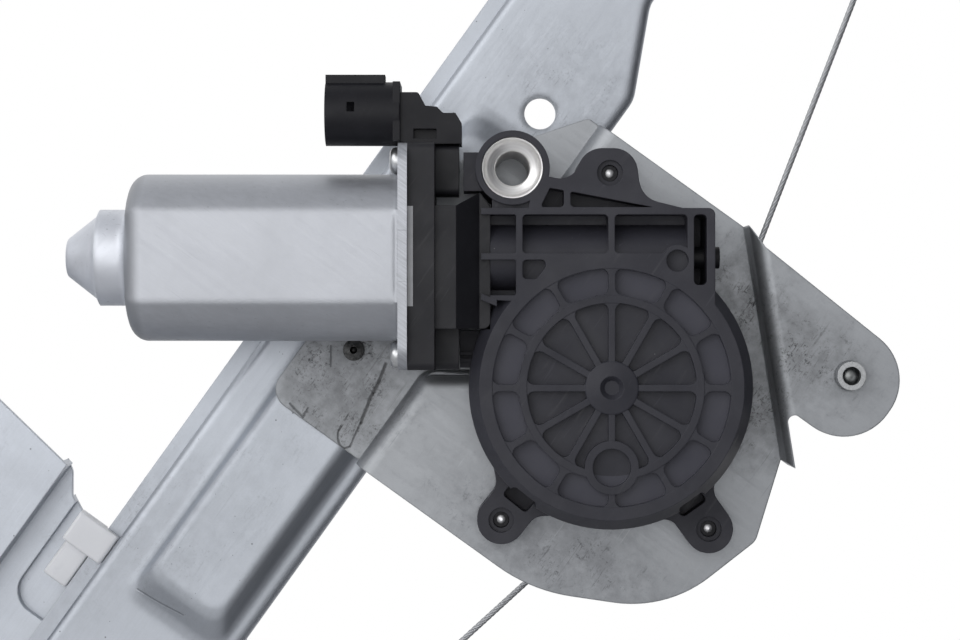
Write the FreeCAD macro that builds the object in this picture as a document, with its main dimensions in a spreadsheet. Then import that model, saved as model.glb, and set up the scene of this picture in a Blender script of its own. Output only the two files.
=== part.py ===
import FreeCAD, Part
import Sketcher
import math
import os

from FreeCAD import Placement, Rotation, Vector

# Cable window regulator: a pressed rail with a carrier that slides on it, a drum and two pulleys that
# move the carrier by a wire rope, and a geared motor that turns the drum.
# Frame: origin at the centre of the rail's round hole on its front face, +Z up along the rail,
# +X to the right and +Y to the back. "Depth" in the sizes is the distance in front of the rail's face.

# Driving dimensions in millimetres and degrees
SIZES = {
    # Rail
    "sheet_thickness": 1.5,
    "rail_above_pulley": 38.0,
    "rail_below_pulley": 37.0,
    "rail_left": 26.4,
    "rail_right": 16.4,
    "rail_neck_right": 6.2,
    "neck_start": 16.0,
    "neck_end": 37.0,
    "neck_end_gap": 20.0,
    "lip_width": 3.8,
    "rail_depth": 6.5,
    "rail_bend_radius": 2.2,
    "rail_hole_radius": 3.75,
    "rail_end_inset": 14.0,
    "rail_corner_radius": 8.0,
    "panel_rise": 4.0,
    "panel_left": 14.2,
    "panel_right": 13.0,
    "panel_right_slope": 5.4,
    "panel_left_slope": 3.2,
    "panel_bottom": 152.0,
    "panel_top": 6.0,
    "panel_end_slope": 10.0,
    "panel_corner_radius": 4.0,
    # Motor plate
    "plate_step": 5.5,
    "plate_left": 13.6,
    "plate_strip_bottom": 92.4,
    "plate_bottom": 93.3,
    "plate_top": 5.4,
    "plate_bend_line": 13.2,
    "plate_corner_radius": 5.0,
    "plate_bend_radius": 4.5,
    "plate_round_radius": 49.5,
    "plate_tail_right": 100.3,
    "plate_tail_height": 53.0,
    "notch_reach": 10.7,
    "notch_bottom": 66.0,
    "notch_tip": 58.4,
    "notch_top": 43.5,
    "wall_top_place": 54.8,
    "wall_foot_across": 93.9,
    "wall_foot_down": 34.0,
    "arm_rise": 14.0,
    "arm_bend_radius": 3.5,
    "arm_end_radius": 12.2,
    "arm_end_across": 105.8,
    "arm_low_down": 23.9,
    "arm_high_up": 0.9,
    "arm_start_across": 60.7,
    "arm_start_up": 3.3,
    "stud_across": 93.5,
    "stud_down": 9.5,
    "stud_radius": 3.3,
    "stud_height": 4.0,
    "stud_bore_radius": 2.1,
    "stud_head_height": 1.6,
    "rivet_radius": 1.7,
    "rivet_bore_radius": 0.9,
    "rivet_head": 1.0,
    "rivet_up": 41.0,
    "rivet_down": 71.9,
    # Gear housing, in a frame turned with the motor about the gear axis
    "gear_across": 50.3,
    "gear_down": 43.7,
    "motor_tilt": 35.7,
    "housing_depth": 24.0,
    "housing_radius": 32.3,
    "housing_shoulder": 4.0,
    "housing_edge_bevel": 1.2,
    "housing_wall": 2.0,
    "disc_rib_depth": 2.2,
    "rib_root": 0.5,
    "rib_drop": 0.1,
    "disc_rim_outer": 29.9,
    "disc_rim_inner": 27.0,
    "disc_ring_outer": 20.9,
    "disc_ring_inner": 19.2,
    "disc_hub_radius": 6.15,
    "disc_hub_dimple": 2.7,
    "hub_rise": 0.7,
    "disc_rib_width": 1.5,
    "disc_rib_flare": 1.8,
    "disc_rib_count": 12,
    "disc_boss_down": 18.0,
    "disc_boss_radius": 6.1,
    "disc_boss_bore": 4.3,
    "ear_across": 14.8,
    "ear_up": 28.7,
    "ear_radius": 3.6,
    "ear_bore": 2.5,
    "frame_right": 23.3,
    "frame_top": 40.6,
    "frame_bottom": 19.9,
    "frame_wall": 1.45,
    "frame_middle": 30.4,
    "frame_mid_rib": 0.8,
    "frame_left_rib": 21.6,
    "frame_right_rib": 18.5,
    "frame_window_depth": 8.0,
    "frame_window_round": 1.0,
    "roof_rib_left": 10.8,
    "roof_slope": 0.165,
    "eye_width": 5.2,
    "eye_height": 4.4,
    "bar_overhang": 2.1,
    "bar_depth": 1.8,
    "heel_left": 34.4,
    "heel_low": 4.3,
    "heel_height": 9.0,
    "tunnel_radius": 7.5,
    "tunnel_bore_radius": 5.6,
    "worm_across": 29.6,
    "worm_height": 15.0,
    "bush_left": 22.4,
    "bush_up": 49.7,
    "bush_ring_radius": 8.4,
    "bush_radius": 7.0,
    "bush_bore_radius": 3.9,
    "bush_dish_depth": 2.4,
    "bush_wall": 1.8,
    "shelf_drop": 5.0,
    "lug_top_left": 0.4,
    "lug_top_up": 48.5,
    "lug_left_across": 24.8,
    "lug_left_down": 31.2,
    "lug_right_across": 23.5,
    "lug_right_down": 33.3,
    "lug_radius": 5.6,
    "lug_height": 7.0,
    "lug_bore_radius": 1.9,
    "lug_sink_radius": 2.9,
    "lug_sink_depth": 1.2,
    "lug_fillet": 4.0,
    "lug_slot_width": 5.0,
    "screw_radius": 1.85,
    "screw_head_radius": 4.0,
    "screw_head_height": 2.6,
    # Motor, along its own axis
    "can_radius": 19.05,
    "can_flat_half": 16.0,
    "can_left": 109.4,
    "can_right": 48.1,
    "can_wall": 1.5,
    "can_shoulder": 4.0,
    "cap_left": 117.3,
    "cap_radius": 11.0,
    "cone_left": 124.1,
    "cone_end_radius": 4.2,
    "flange_thickness": 2.1,
    "flange_half_height": 25.5,
    "flange_half_depth": 16.6,
    "flange_corner": 5.0,
    "can_screw_offset": 22.2,
    "can_screw_radius": 1.9,
    "can_screw_head_radius": 3.1,
    "can_screw_head": 2.3,
    "can_screw_length": 13.0,
    "block_length": 6.1,
    "block_half_depth": 14.7,
    "block_boss_length": 5.4,
    "block_boss_height": 11.5,
    "block_nose_right": 27.4,
    "block_nose_top": 11.4,
    "block_nose_bottom": 16.2,
    "block_nose_half_depth": 13.0,
    "nose_peak": 3.2,
    "nose_peak_inset": 2.4,
    "nose_face": 4.8,
    "nose_drop": 6.2,
    "block_round": 1.6,
    "seal_thickness": 1.3,
    "seal_half_height": 11.2,
    "shaft_radius": 3.0,
    "shaft_end_gap": 0.4,
    "armature_length": 32.0,
    "armature_radius": 12.6,
    "armature_start": 98.0,
    "armature_slots": 10,
    "winding_overhang": 4.5,
    "magnet_gap": 0.7,
    "magnet_length": 40.0,
    "commutator_radius": 7.5,
    "commutator_length": 9.0,
    "commutator_start": 57.5,
    "brush_width": 4.0,
    "brush_length": 6.0,
    "bearing_length": 5.0,
    "bearing_radius": 6.0,
    "worm_teeth": 73,
    "worm_module": 0.7,
    "worm_tip": 0.6,
    "worm_root": 0.75,
    "worm_length_turns": 6,
    "thread_width": 0.55,
    "tooth_gap_tip": 1.7,
    "tooth_gap_root": 1.15,
    "thrust_ball_radius": 1.9,
    "plug_radius": 2.5,
    "plug_length": 6.0,
    "plug_proud": 1.7,
    # Connector
    "socket_left": 65.0,
    "socket_right": 48.0,
    "socket_up": 62.5,
    "socket_radius": 7.3,
    "socket_wall": 1.1,
    "socket_floor": 4.0,
    "socket_key_width": 5.0,
    "socket_key_height": 1.5,
    "elbow_left": 48.4,
    "elbow_right": 33.9,
    "elbow_half_depth": 6.0,
    "elbow_top": 67.0,
    "elbow_step": 2.35,
    "clip_inset": 1.2,
    "clip_width": 5.2,
    "clip_height": 2.2,
    "latch_inset": 5.1,
    "latch_width": 1.7,
    "latch_height": 2.2,
    "pin_width": 1.0,
    "pin_length": 6.0,
    "pin_spacing": 4.4,
    # Drive train on the gear axis
    "axle_radius": 4.0,
    "axle_seat_depth": 1.5,
    "running_gap": 0.05,
    "part_gap": 0.4,
    "wheel_face": 8.0,
    "wheel_web": 2.4,
    "wheel_rim_inner": 19.5,
    "wheel_hub_radius": 6.5,
    "damper_outer": 19.0,
    "damper_inner": 8.5,
    "damper_height": 6.0,
    "damper_slot": 5.0,
    "damper_slots": 3,
    "driver_radius": 18.6,
    "driver_thickness": 2.6,
    "driver_neck": 10.5,
    "driver_key": 8.0,
    "driver_key_length": 7.0,
    "drum_pitch_radius": 23.5,
    "drum_lip": 1.3,
    "drum_grooves": 5,
    "groove_pitch": 1.8,
    "drum_end_wall": 1.2,
    "drum_pocket_inner": 12.5,
    "drum_pocket_outer": 19.5,
    "drum_pocket_width": 8.7,
    "drum_pocket_depth": 6.0,
    "drum_pockets": 6,
    "cable_depth": 9.0,
    "cable_radius": 0.75,
    "drum_case_radius": 28.0,
    "drum_case_wall": 1.6,
    "drum_case_gap": 0.6,
    "drum_foot_height": 2.4,
    "plate_bore_radius": 14.0,
    # Pulleys
    "pulley_across": 3.0,
    "top_pulley_up": 212.0,
    "bottom_pulley_down": 355.0,
    "pulley_pitch_radius": 11.0,
    "pulley_lip": 1.6,
    "pulley_width": 5.0,
    "pulley_axle_radius": 3.5,
    "pulley_axle_head": 6.0,
    "pulley_head_height": 1.4,
    # Carrier
    "carrier_middle_down": 179.0,
    "carrier_half_height": 35.0,
    "carrier_right": 18.0,
    "carrier_left": 118.0,
    "carrier_clearance": 2.0,
    "carrier_deep_step": 2.5,
    "carrier_front_step": 7.0,
    "carrier_bend_line": 45.0,
    "carrier_seat_line": 37.2,
    "carrier_seat_height": 27.0,
    "carrier_corner": 6.0,
    "carrier_shoulder": 9.0,
    "wing_rise": 11.0,
    "wing_bottom": 190.0,
    "slider_outer": 7.8,
    "slider_jaw": 3.3,
    "slider_length": 15.0,
    "slider_inset": 0.8,
    "jaw_length": 8.0,
    "slide_gap": 0.25,
    "guide_length": 30.0,
    "guide_leg": 2.0,
    "ferrule_radius": 2.4,
    "ferrule_length": 9.0,
    "ferrule_gap": 9.0,
    "block_width": 9.0,
    "clamp_left": 112.0,
    "clamp_width": 38.0,
    "clamp_top": 140.0,
    "clamp_bottom": 184.0,
    "glass_depth": 24.0,
    "glass_gap": 5.0,
    "clamp_jaw": 3.0,
    "clamp_rib": 2.2,
    "clamp_screw_length": 12.0,
    "pad_thickness": 1.5,
    "glass_edge": 170.0,
    "clamp_screw_radius": 3.0,
    "clamp_screw_head": 2.3,
    "clamp_screw_down": 177.0,
    "clamp_screw_spacing": 24.0,
    "stop_thickness": 6.0,
    "travel_up": 325.0,
    "travel_down": 90.0,
}


class Size:
    """A number together with the sheet formula that gives it."""

    def __init__(self, value, formula):
        self.value = float(value)
        self.formula = formula

    def __add__(self, other):
        other = as_size(other)
        return Size(self.value + other.value, f"({self.formula} + {other.formula})")

    def __sub__(self, other):
        other = as_size(other)
        return Size(self.value - other.value, f"({self.formula} - {other.formula})")

    def __mul__(self, other):
        other = as_size(other)
        return Size(self.value * other.value, f"{self.formula} * {other.formula}")

    def __truediv__(self, other):
        other = as_size(other)
        return Size(self.value / other.value, f"({self.formula}) / ({other.formula})")

    def __neg__(self):
        return Size(-self.value, f"(0 - {self.formula})")

    __radd__ = __add__
    __rmul__ = __mul__

    def __rsub__(self, other):
        return as_size(other) - self


def as_size(number):
    """A plain number as a Size."""
    if isinstance(number, Size):
        return number
    return Size(number, repr(float(number)))


def sine(angle):
    return Size(math.sin(math.radians(angle.value)), f"sin({angle.formula})")


def cosine(angle):
    return Size(math.cos(math.radians(angle.value)), f"cos({angle.formula})")


def root(square):
    return Size(math.sqrt(square.value), f"sqrt({square.formula})")


def arc_tangent(ratio):
    return Size(math.degrees(math.atan(ratio.value)), f"(atan({ratio.formula}) / 1 deg)")


def arc_cosine(ratio):
    return Size(math.degrees(math.acos(ratio.value)), f"(acos({ratio.formula}) / 1 deg)")


doc = FreeCAD.newDocument("window_regulator")
sheet = doc.addObject("Spreadsheet::Sheet", "Sizes")


class Dimensions:
    """Every cell of the sheet as an attribute of the same name."""


dim = Dimensions()
for row, (alias, number) in enumerate(SIZES.items(), start=1):
    sheet.set(f"A{row}", alias)
    sheet.set(f"B{row}", str(number))
    sheet.setAlias(f"B{row}", alias)
    setattr(dim, alias, Size(number, f"Sizes.{alias}"))
doc.recompute()

subparts = {}


class Ring:
    """A circle in a sketch."""

    def __init__(self, x, y, radius):
        self.centre = (as_size(x), as_size(y))
        self.radius = as_size(radius)


def box_outline(left, bottom, right, top, radius=None):
    """A rectangle's corners, all with the same rounding."""
    corners = [(left, bottom), (right, bottom), (right, top), (left, top)]
    if radius is None:
        return corners
    return [(x, y, radius) for x, y in corners]


def tie(sketch, kind, geometry, point, size):
    """Ties a point's distance from the sketch's origin to the sheet."""
    size = as_size(size)
    number = sketch.addConstraint(Sketcher.Constraint(kind, -1, 1, geometry, point, size.value))
    sketch.setExpression(f"Constraints[{number}]", size.formula)


def tie_radius(sketch, geometry, size):
    number = sketch.addConstraint(Sketcher.Constraint("Radius", geometry, size.value))
    sketch.setExpression(f"Constraints[{number}]", size.formula)


def draw_ring(sketch, ring):
    centre = Vector(ring.centre[0].value, ring.centre[1].value, 0)
    circle = sketch.addGeometry(Part.Circle(centre, Vector(0, 0, 1), ring.radius.value), False)
    tie(sketch, "DistanceX", circle, 3, ring.centre[0])
    tie(sketch, "DistanceY", circle, 3, ring.centre[1])
    tie_radius(sketch, circle, ring.radius)


def draw_outline(sketch, corners):
    """A closed outline through its corners, each (x, y) or (x, y, rounding), tied to the sheet."""
    corners = [tuple(as_size(part) for part in corner) for corner in corners]
    points = [Vector(corner[0].value, corner[1].value, 0) for corner in corners]
    count = len(corners)
    arrive = []
    leave = []
    centres = []
    for i, corner in enumerate(corners):
        if len(corner) == 2:
            arrive.append(points[i])
            leave.append(points[i])
            centres.append(None)
            continue
        back = (points[i - 1] - points[i]).normalize()
        ahead = (points[(i + 1) % count] - points[i]).normalize()
        half = back.getAngle(ahead) / 2
        cut = corner[2].value / math.tan(half)
        arrive.append(points[i] + back * cut)
        leave.append(points[i] + ahead * cut)
        centres.append(points[i] + (back + ahead).normalize() * (corner[2].value / math.sin(half)))
    lines = []
    for i in range(count):
        line = Part.LineSegment(leave[i], arrive[(i + 1) % count])
        lines.append(sketch.addGeometry(line, False))
    for i, corner in enumerate(corners):
        before = lines[i - 1]
        after = lines[i]
        if centres[i] is None:
            sketch.addConstraint(Sketcher.Constraint("Coincident", before, 2, after, 1))
            tie(sketch, "DistanceX", after, 1, corner[0])
            tie(sketch, "DistanceY", after, 1, corner[1])
            continue
        outward = (points[i] - centres[i]).normalize() * corner[2].value
        arc = sketch.addGeometry(Part.Arc(arrive[i], centres[i] + outward, leave[i]), False)
        first, last = (1, 2)
        if (sketch.getPoint(arc, 1) - arrive[i]).Length > (sketch.getPoint(arc, 2) - arrive[i]).Length:
            first, last = (2, 1)
        sketch.addConstraint(Sketcher.Constraint("Tangent", before, 2, arc, first))
        sketch.addConstraint(Sketcher.Constraint("Tangent", after, 1, arc, last))
        tie_radius(sketch, arc, corner[2])
        apex = sketch.addGeometry(Part.Point(points[i]), True)
        sketch.addConstraint(Sketcher.Constraint("PointOnObject", apex, 1, before))
        sketch.addConstraint(Sketcher.Constraint("PointOnObject", apex, 1, after))
        tie(sketch, "DistanceX", apex, 1, corner[0])
        tie(sketch, "DistanceY", apex, 1, corner[1])


def draw(body, name, plane, offset, loops):
    """A sketch parallel to one of the body's own planes, holding closed outlines and rings."""
    offset = as_size(offset)
    sketch = body.newObject("Sketcher::SketchObject", name)
    support = [item for item in body.Origin.OriginFeatures if item.Role == plane][0]
    sketch.AttachmentSupport = (support, [""])
    sketch.MapMode = "FlatFace"
    sketch.AttachmentOffset = Placement(Vector(0, 0, offset.value), Rotation())
    sketch.setExpression("AttachmentOffset.Base.z", offset.formula)
    for loop in loops:
        if isinstance(loop, Ring):
            draw_ring(sketch, loop)
        else:
            draw_outline(sketch, loop)
    sketch.Visibility = False
    return sketch


FRONT = "XZ_Plane"
SIDE = "YZ_Plane"
TOP = "XY_Plane"


def extrude(body, kind, name, plane, offset, length, loops):
    """Adds or cuts a straight prism from the offset plane along the plane's own normal."""
    sketch = draw(body, name + "_outline", plane, offset, loops)
    feature = body.newObject(kind, name)
    feature.Profile = sketch
    length = as_size(length)
    feature.Length = length.value
    feature.setExpression("Length", length.formula)
    if kind == "PartDesign::Pocket":
        feature.Reversed = True
    body.Tip = feature
    return feature


def pad(body, name, plane, offset, length, *loops):
    return extrude(body, "PartDesign::Pad", name, plane, offset, length, loops)


def pocket(body, name, plane, offset, length, *loops):
    return extrude(body, "PartDesign::Pocket", name, plane, offset, length, loops)


def spin(body, kind, name, plane, offset, axis, loops):
    sketch = draw(body, name + "_outline", plane, offset, loops)
    feature = body.newObject(kind, name)
    feature.Profile = sketch
    feature.ReferenceAxis = (sketch, [axis])
    feature.Angle = 360
    body.Tip = feature
    return feature


def turn(body, name, plane, axis, *loops):
    """Adds a solid of revolution about the sketch's own axis."""
    return spin(body, "PartDesign::Revolution", name, plane, 0, axis, loops)


def groove(body, name, plane, axis, *loops):
    """Cuts a solid of revolution about the sketch's own axis."""
    return spin(body, "PartDesign::Groove", name, plane, 0, axis, loops)


def loft(body, kind, name, plane, sections):
    """Adds or cuts a straight-sided loft through outlines, each (offset, corners)."""
    sketches = []
    for number, (offset, corners) in enumerate(sections, start=1):
        sketches.append(draw(body, f"{name}_section_{number}", plane, offset, [corners]))
    feature = body.newObject(kind, name)
    feature.Profile = sketches[0]
    feature.Sections = sketches[1:]
    feature.Ruled = True
    body.Tip = feature
    return feature


def repeat_round(body, name, feature, axis, count):
    """Repeats a feature evenly round one of the body's own axes."""
    pattern = body.newObject("PartDesign::PolarPattern", name)
    pattern.Originals = [feature]
    support = [item for item in body.Origin.OriginFeatures if item.Role == axis][0]
    pattern.Axis = (support, [""])
    pattern.Angle = 360
    pattern.Occurrences = int(count.value)
    pattern.setExpression("Occurrences", count.formula)
    body.Tip = pattern
    return pattern


def round_edges(body, name, radius, wanted, kind="PartDesign::Fillet"):
    """Rounds or bevels those edges of the body's last feature that the test picks."""
    doc.recompute()
    base = body.Tip
    names = []
    for number, edge in enumerate(base.Shape.Edges, start=1):
        if wanted(edge):
            names.append(f"Edge{number}")
    if not names:
        raise ValueError(f"{body.Label}: no edge for {name}")
    feature = body.newObject(kind, name)
    feature.Base = (base, names)
    key = "Radius" if kind == "PartDesign::Fillet" else "Size"
    radius = as_size(radius)
    setattr(feature, key, radius.value)
    feature.setExpression(key, radius.formula)
    body.Tip = feature
    return feature


def middle(edge):
    return edge.valueAt((edge.FirstParameter + edge.LastParameter) / 2)


def near(number, size, slack=0.02):
    return abs(number - as_size(size).value) < slack


class Frame:
    """A place and a turn about the Y axis, both from the sheet."""

    def __init__(self, x=0, y=0, z=0, tilt=0):
        self.base = [as_size(x), as_size(y), as_size(z)]
        self.tilt = as_size(tilt)

    def moved(self, x=0, y=0, z=0):
        """A frame at a point given in this frame's own directions."""
        x = as_size(x)
        z = as_size(z)
        across = self.base[0] + x * cosine(self.tilt) - z * sine(self.tilt)
        up = self.base[2] + x * sine(self.tilt) + z * cosine(self.tilt)
        return Frame(across, self.base[1] + y, up, self.tilt)


def place(item, frame):
    """Places an object and ties its placement to the sheet."""
    position = Vector(*[part.value for part in frame.base])
    item.Placement = Placement(position, Rotation(Vector(0, 1, 0), -frame.tilt.value))
    for letter, part in zip("xyz", frame.base):
        item.setExpression(f"Placement.Base.{letter}", part.formula)
    if frame.tilt.value:
        item.setExpression("Placement.Rotation.Angle", (-frame.tilt).formula)


def new_body(label, frame):
    body = doc.addObject("PartDesign::Body", label)
    body.Label = label
    place(body, frame)
    return body


def keep(item):
    """Lists an object for export under its label."""
    subparts[item.Label] = item
    return item


def group(label, items):
    """One sub-part made of several separate pieces."""
    compound = doc.addObject("Part::Compound", label)
    compound.Label = label
    compound.Links = items
    return keep(compound)


def cylinder(label, frame, direction, radius, start, length):
    """A plain round bar along the frame's own X or Y axis, from start, with its axis through the frame."""
    bar = doc.addObject("Part::Cylinder", label)
    bar.Label = label
    radius = as_size(radius)
    length = as_size(length)
    bar.Radius = radius.value
    bar.Height = length.value
    bar.setExpression("Radius", radius.formula)
    bar.setExpression("Height", length.formula)
    if direction == "Y":
        seat = frame.moved(0, start, 0)
        turned = Rotation(Vector(1, 0, 0), -90)
    else:
        seat = frame.moved(start, 0, 0)
        turned = Rotation(Vector(0, 1, 0), 90)
    tilt = Rotation(Vector(0, 1, 0), -frame.tilt.value)
    bar.Placement = Placement(Vector(*[part.value for part in seat.base]), tilt * turned)
    for letter, part in zip("xyz", seat.base):
        bar.setExpression(f"Placement.Base.{letter}", part.formula)
    return bar


# Frames that the sub-parts are drawn in
HOME = Frame()
GEAR = Frame(dim.gear_across, 0, -dim.gear_down, dim.motor_tilt)

# Depths in front of the rail's face
sheet_metal = dim.sheet_thickness
strip_front = dim.panel_rise + sheet_metal
plate_back = dim.panel_rise + dim.plate_step
plate_front = plate_back + sheet_metal
arm_back = plate_back + dim.arm_rise
arm_front = arm_back + sheet_metal
housing_front = plate_front + dim.housing_depth
worm_depth = plate_front + dim.worm_height
MOTOR = GEAR.moved(0, -worm_depth, dim.worm_across)
cable_plane = -dim.cable_depth


def in_gear(x, z):
    """A point of the motor's frame, in the rail's directions."""
    spot = GEAR.moved(x, 0, z)
    return spot.base[0], spot.base[2]


# Screw lugs of the gear housing, in the motor's frame
LUGS = {
    "top": (-dim.lug_top_left, dim.lug_top_up),
    "left": (-dim.lug_left_across, -dim.lug_left_down),
    "right": (dim.lug_right_across, -dim.lug_right_down),
}


def build_rail():
    rail = new_body("rail", HOME)
    corner = dim.rail_corner_radius
    inner_corner = corner - sheet_metal
    outer_corner = corner + sheet_metal
    wall_left = -dim.rail_left + dim.lip_width
    top = dim.top_pulley_up + dim.rail_above_pulley
    bottom = -dim.bottom_pulley_down - dim.rail_below_pulley
    widening = dim.top_pulley_up - dim.neck_end_gap
    outer = [
        (wall_left, bottom),
        (dim.rail_right, bottom),
        (dim.rail_right, dim.neck_start, corner),
        (dim.rail_neck_right, dim.neck_end, corner),
        (dim.rail_neck_right, widening, corner),
        (dim.rail_right, dim.top_pulley_up, corner),
        (dim.rail_right, top),
        (wall_left, top),
    ]
    pad(rail, "web_and_walls", FRONT, -dim.rail_depth, dim.rail_depth, outer)
    round_edges(
        rail,
        "web_bends",
        dim.rail_bend_radius,
        lambda edge: near(middle(edge).y, 0) and edge.BoundBox.ZLength > 2 * corner.value - 1,
    )
    inside = wall_left + sheet_metal
    edge = dim.rail_right - sheet_metal
    neck = dim.rail_neck_right - sheet_metal
    slant = sheet_metal / 2
    inner = [
        (inside, bottom - corner),
        (edge, bottom - corner),
        (edge, dim.neck_start - slant, inner_corner),
        (neck, dim.neck_end - slant, outer_corner),
        (neck, widening + slant, outer_corner),
        (edge, dim.top_pulley_up + slant, inner_corner),
        (edge, top + corner),
        (inside, top + corner),
    ]
    pocket(rail, "hollow_back", FRONT, -dim.rail_depth - 1, dim.rail_depth + 1 - sheet_metal, inner)
    lip = box_outline(-dim.rail_left, bottom, inside, top)
    pad(rail, "lip", FRONT, -dim.rail_depth, sheet_metal, lip)

    corners = []
    for up, end in ((1, top), (-1, bottom)):
        right = dim.rail_right + 1
        corners.append([(right, end + up), (right, end - up * corner), (dim.rail_right - corner, end + up)])
    pocket(rail, "clipped_corners", FRONT, -dim.rail_depth - 1, dim.rail_depth + 2, *corners)

    # The raised panel's slopes bend softly: each ring is a share of the rise and of the slope
    rounding = dim.panel_corner_radius
    thin = sheet_metal * 0.9

    def ring(share, inset):
        left = -dim.panel_left + share * dim.panel_left_slope + inset
        right = dim.panel_right - share * dim.panel_right_slope - inset
        low = -dim.panel_bottom + share * dim.panel_end_slope + inset
        high = -dim.panel_top - share * dim.panel_end_slope - inset
        return box_outline(left, low, right, high, rounding)

    steps = ((0, 0), (0.12, 0.25), (0.88, 0.75), (1, 1))
    outside = [(dim.panel_rise * rise, ring(share, 0)) for rise, share in steps]
    loft(rail, "PartDesign::AdditiveLoft", "raised_panel", FRONT, outside)
    behind = [(dim.panel_rise * rise - sheet_metal, ring(share, thin)) for rise, share in steps]
    loft(rail, "PartDesign::SubtractiveLoft", "panel_hollow", FRONT, behind)
    line = -dim.pulley_across
    pocket(
        rail,
        "bolt_holes",
        FRONT,
        -dim.rail_depth - 1,
        dim.rail_depth + dim.panel_rise + 2,
        Ring(0, 0, dim.rail_hole_radius),
        Ring(line, top - dim.rail_end_inset, dim.rail_hole_radius),
        Ring(line, bottom + dim.rail_end_inset, dim.rail_hole_radius),
        Ring(line, dim.top_pulley_up, dim.pulley_axle_radius),
        Ring(line, -dim.bottom_pulley_down, dim.pulley_axle_radius),
        Ring(line, -dim.rivet_up, dim.rivet_radius),
        Ring(line, -dim.rivet_down, dim.rivet_radius),
    )
    return keep(rail)


def build_motor_plate():
    plate = new_body("motor_plate", HOME)
    top = dim.plate_top
    low = -dim.plate_bottom
    bend = dim.plate_bend_line
    corner = dim.plate_corner_radius
    tight = dim.rail_bend_radius
    strip = [
        (-dim.plate_left, -dim.plate_strip_bottom, corner),
        (bend + sheet_metal, -dim.plate_strip_bottom),
        (bend + sheet_metal, top - 1),
        (bend, top, sheet_metal),
        (bend - 2 * sheet_metal, top, sheet_metal),
        (-dim.plate_left, -dim.bush_up + dim.bush_left, corner),
    ]
    notch_tip = (bend + dim.notch_reach, -dim.notch_tip, tight)
    pad(plate, "strip_on_rail", FRONT, dim.panel_rise, sheet_metal, strip)
    root_x = bend - sheet_metal
    tongue = [(root_x, -dim.notch_bottom - tight), notch_tip, (root_x, -dim.notch_top + tight)]
    pad(plate, "notch_floor", FRONT, dim.panel_rise, sheet_metal, tongue)

    across = dim.gear_across
    reach = dim.plate_round_radius
    foot_x = dim.wall_foot_across
    foot_z = -dim.wall_foot_down
    plateau = [
        (bend, low),
        (across + 0.28 * reach, low, reach * 0.8),
        (across + 0.86 * reach, low + 0.3 * reach, reach * 0.6),
        (dim.plate_tail_right, -dim.plate_tail_height, dim.stud_height),
        (foot_x, foot_z),
        (dim.wall_top_place, top),
        (bend, top),
        (bend, -dim.notch_top, corner),
        notch_tip,
        (bend, -dim.notch_bottom, corner),
    ]
    pad(plate, "raised_plate", FRONT, dim.panel_rise, plate_front - dim.panel_rise, plateau)
    beyond = dim.plate_tail_right
    inner = bend + sheet_metal
    hollow = [
        (inner, low - beyond),
        (2 * beyond, low - beyond),
        (2 * beyond, top + beyond),
        (inner, top + beyond),
        (inner, -dim.notch_top - sheet_metal / 2, corner - sheet_metal),
        (bend + dim.notch_reach + 1.6 * sheet_metal, -dim.notch_tip, tight + sheet_metal),
        (inner, -dim.notch_bottom + sheet_metal / 2, corner - sheet_metal),
    ]
    pocket(plate, "back_of_raised_plate", FRONT, 0, plate_back, hollow)

    def on_bend(edge):
        spot = middle(edge)
        in_reach = spot.x < bend.value + dim.notch_reach.value + 0.5
        inside = low.value + 0.5 < spot.z < top.value - 0.5
        return near(spot.y, -plate_front) and in_reach and inside

    round_edges(plate, "front_bend", dim.plate_bend_radius, on_bend)

    # Arm in front of the plate, on a wall that crosses it at about 45 degrees
    thick = sheet_metal * root(as_size(2))
    share = (dim.wall_foot_down - dim.arm_low_down) / (dim.wall_foot_down + top)
    neck_x = foot_x + thick - share * (foot_x - dim.wall_top_place)
    end_x = dim.arm_end_across
    arm = [
        (dim.wall_top_place, top),
        (foot_x, foot_z),
        (foot_x + thick, foot_z),
        (neck_x, -dim.arm_low_down, sheet_metal),
        (end_x, -dim.arm_low_down, dim.arm_end_radius),
        (end_x, dim.arm_high_up, dim.arm_end_radius),
        (dim.arm_start_across, dim.arm_start_up),
    ]
    pad(plate, "arm_block", FRONT, plate_back, arm_front - plate_back, arm)
    run = foot_x - dim.wall_top_place
    drop = top - foot_z
    behind_arm = [
        (dim.wall_top_place + thick - run, top + drop),
        (foot_x + thick + run, foot_z - drop),
        (foot_x + 3 * run, top + drop),
    ]
    pocket(plate, "back_of_arm", FRONT, 0, arm_back, behind_arm)

    def on_wall(edge):
        spot = middle(edge)
        long = edge.BoundBox.ZLength > drop.value / 2 and edge.BoundBox.XLength > run.value / 2
        left = spot.x < (foot_x.value + dim.wall_top_place.value) / 2 + 1
        return near(spot.y, -arm_front) and long and left

    round_edges(plate, "arm_bend", dim.arm_bend_radius, on_wall)

    hole = dim.screw_radius + dim.part_gap
    rings = [Ring(*in_gear(x, z), hole) for x, z in LUGS.values()]
    pocket(
        plate,
        "holes",
        FRONT,
        0,
        arm_front + 1,
        *rings,
        Ring(dim.gear_across, -dim.gear_down, dim.plate_bore_radius),
        Ring(dim.stud_across, -dim.stud_down, dim.stud_radius),
        Ring(-dim.pulley_across, -dim.rivet_up, dim.rivet_radius),
        Ring(-dim.pulley_across, -dim.rivet_down, dim.rivet_radius),
    )
    return keep(plate)


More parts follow.
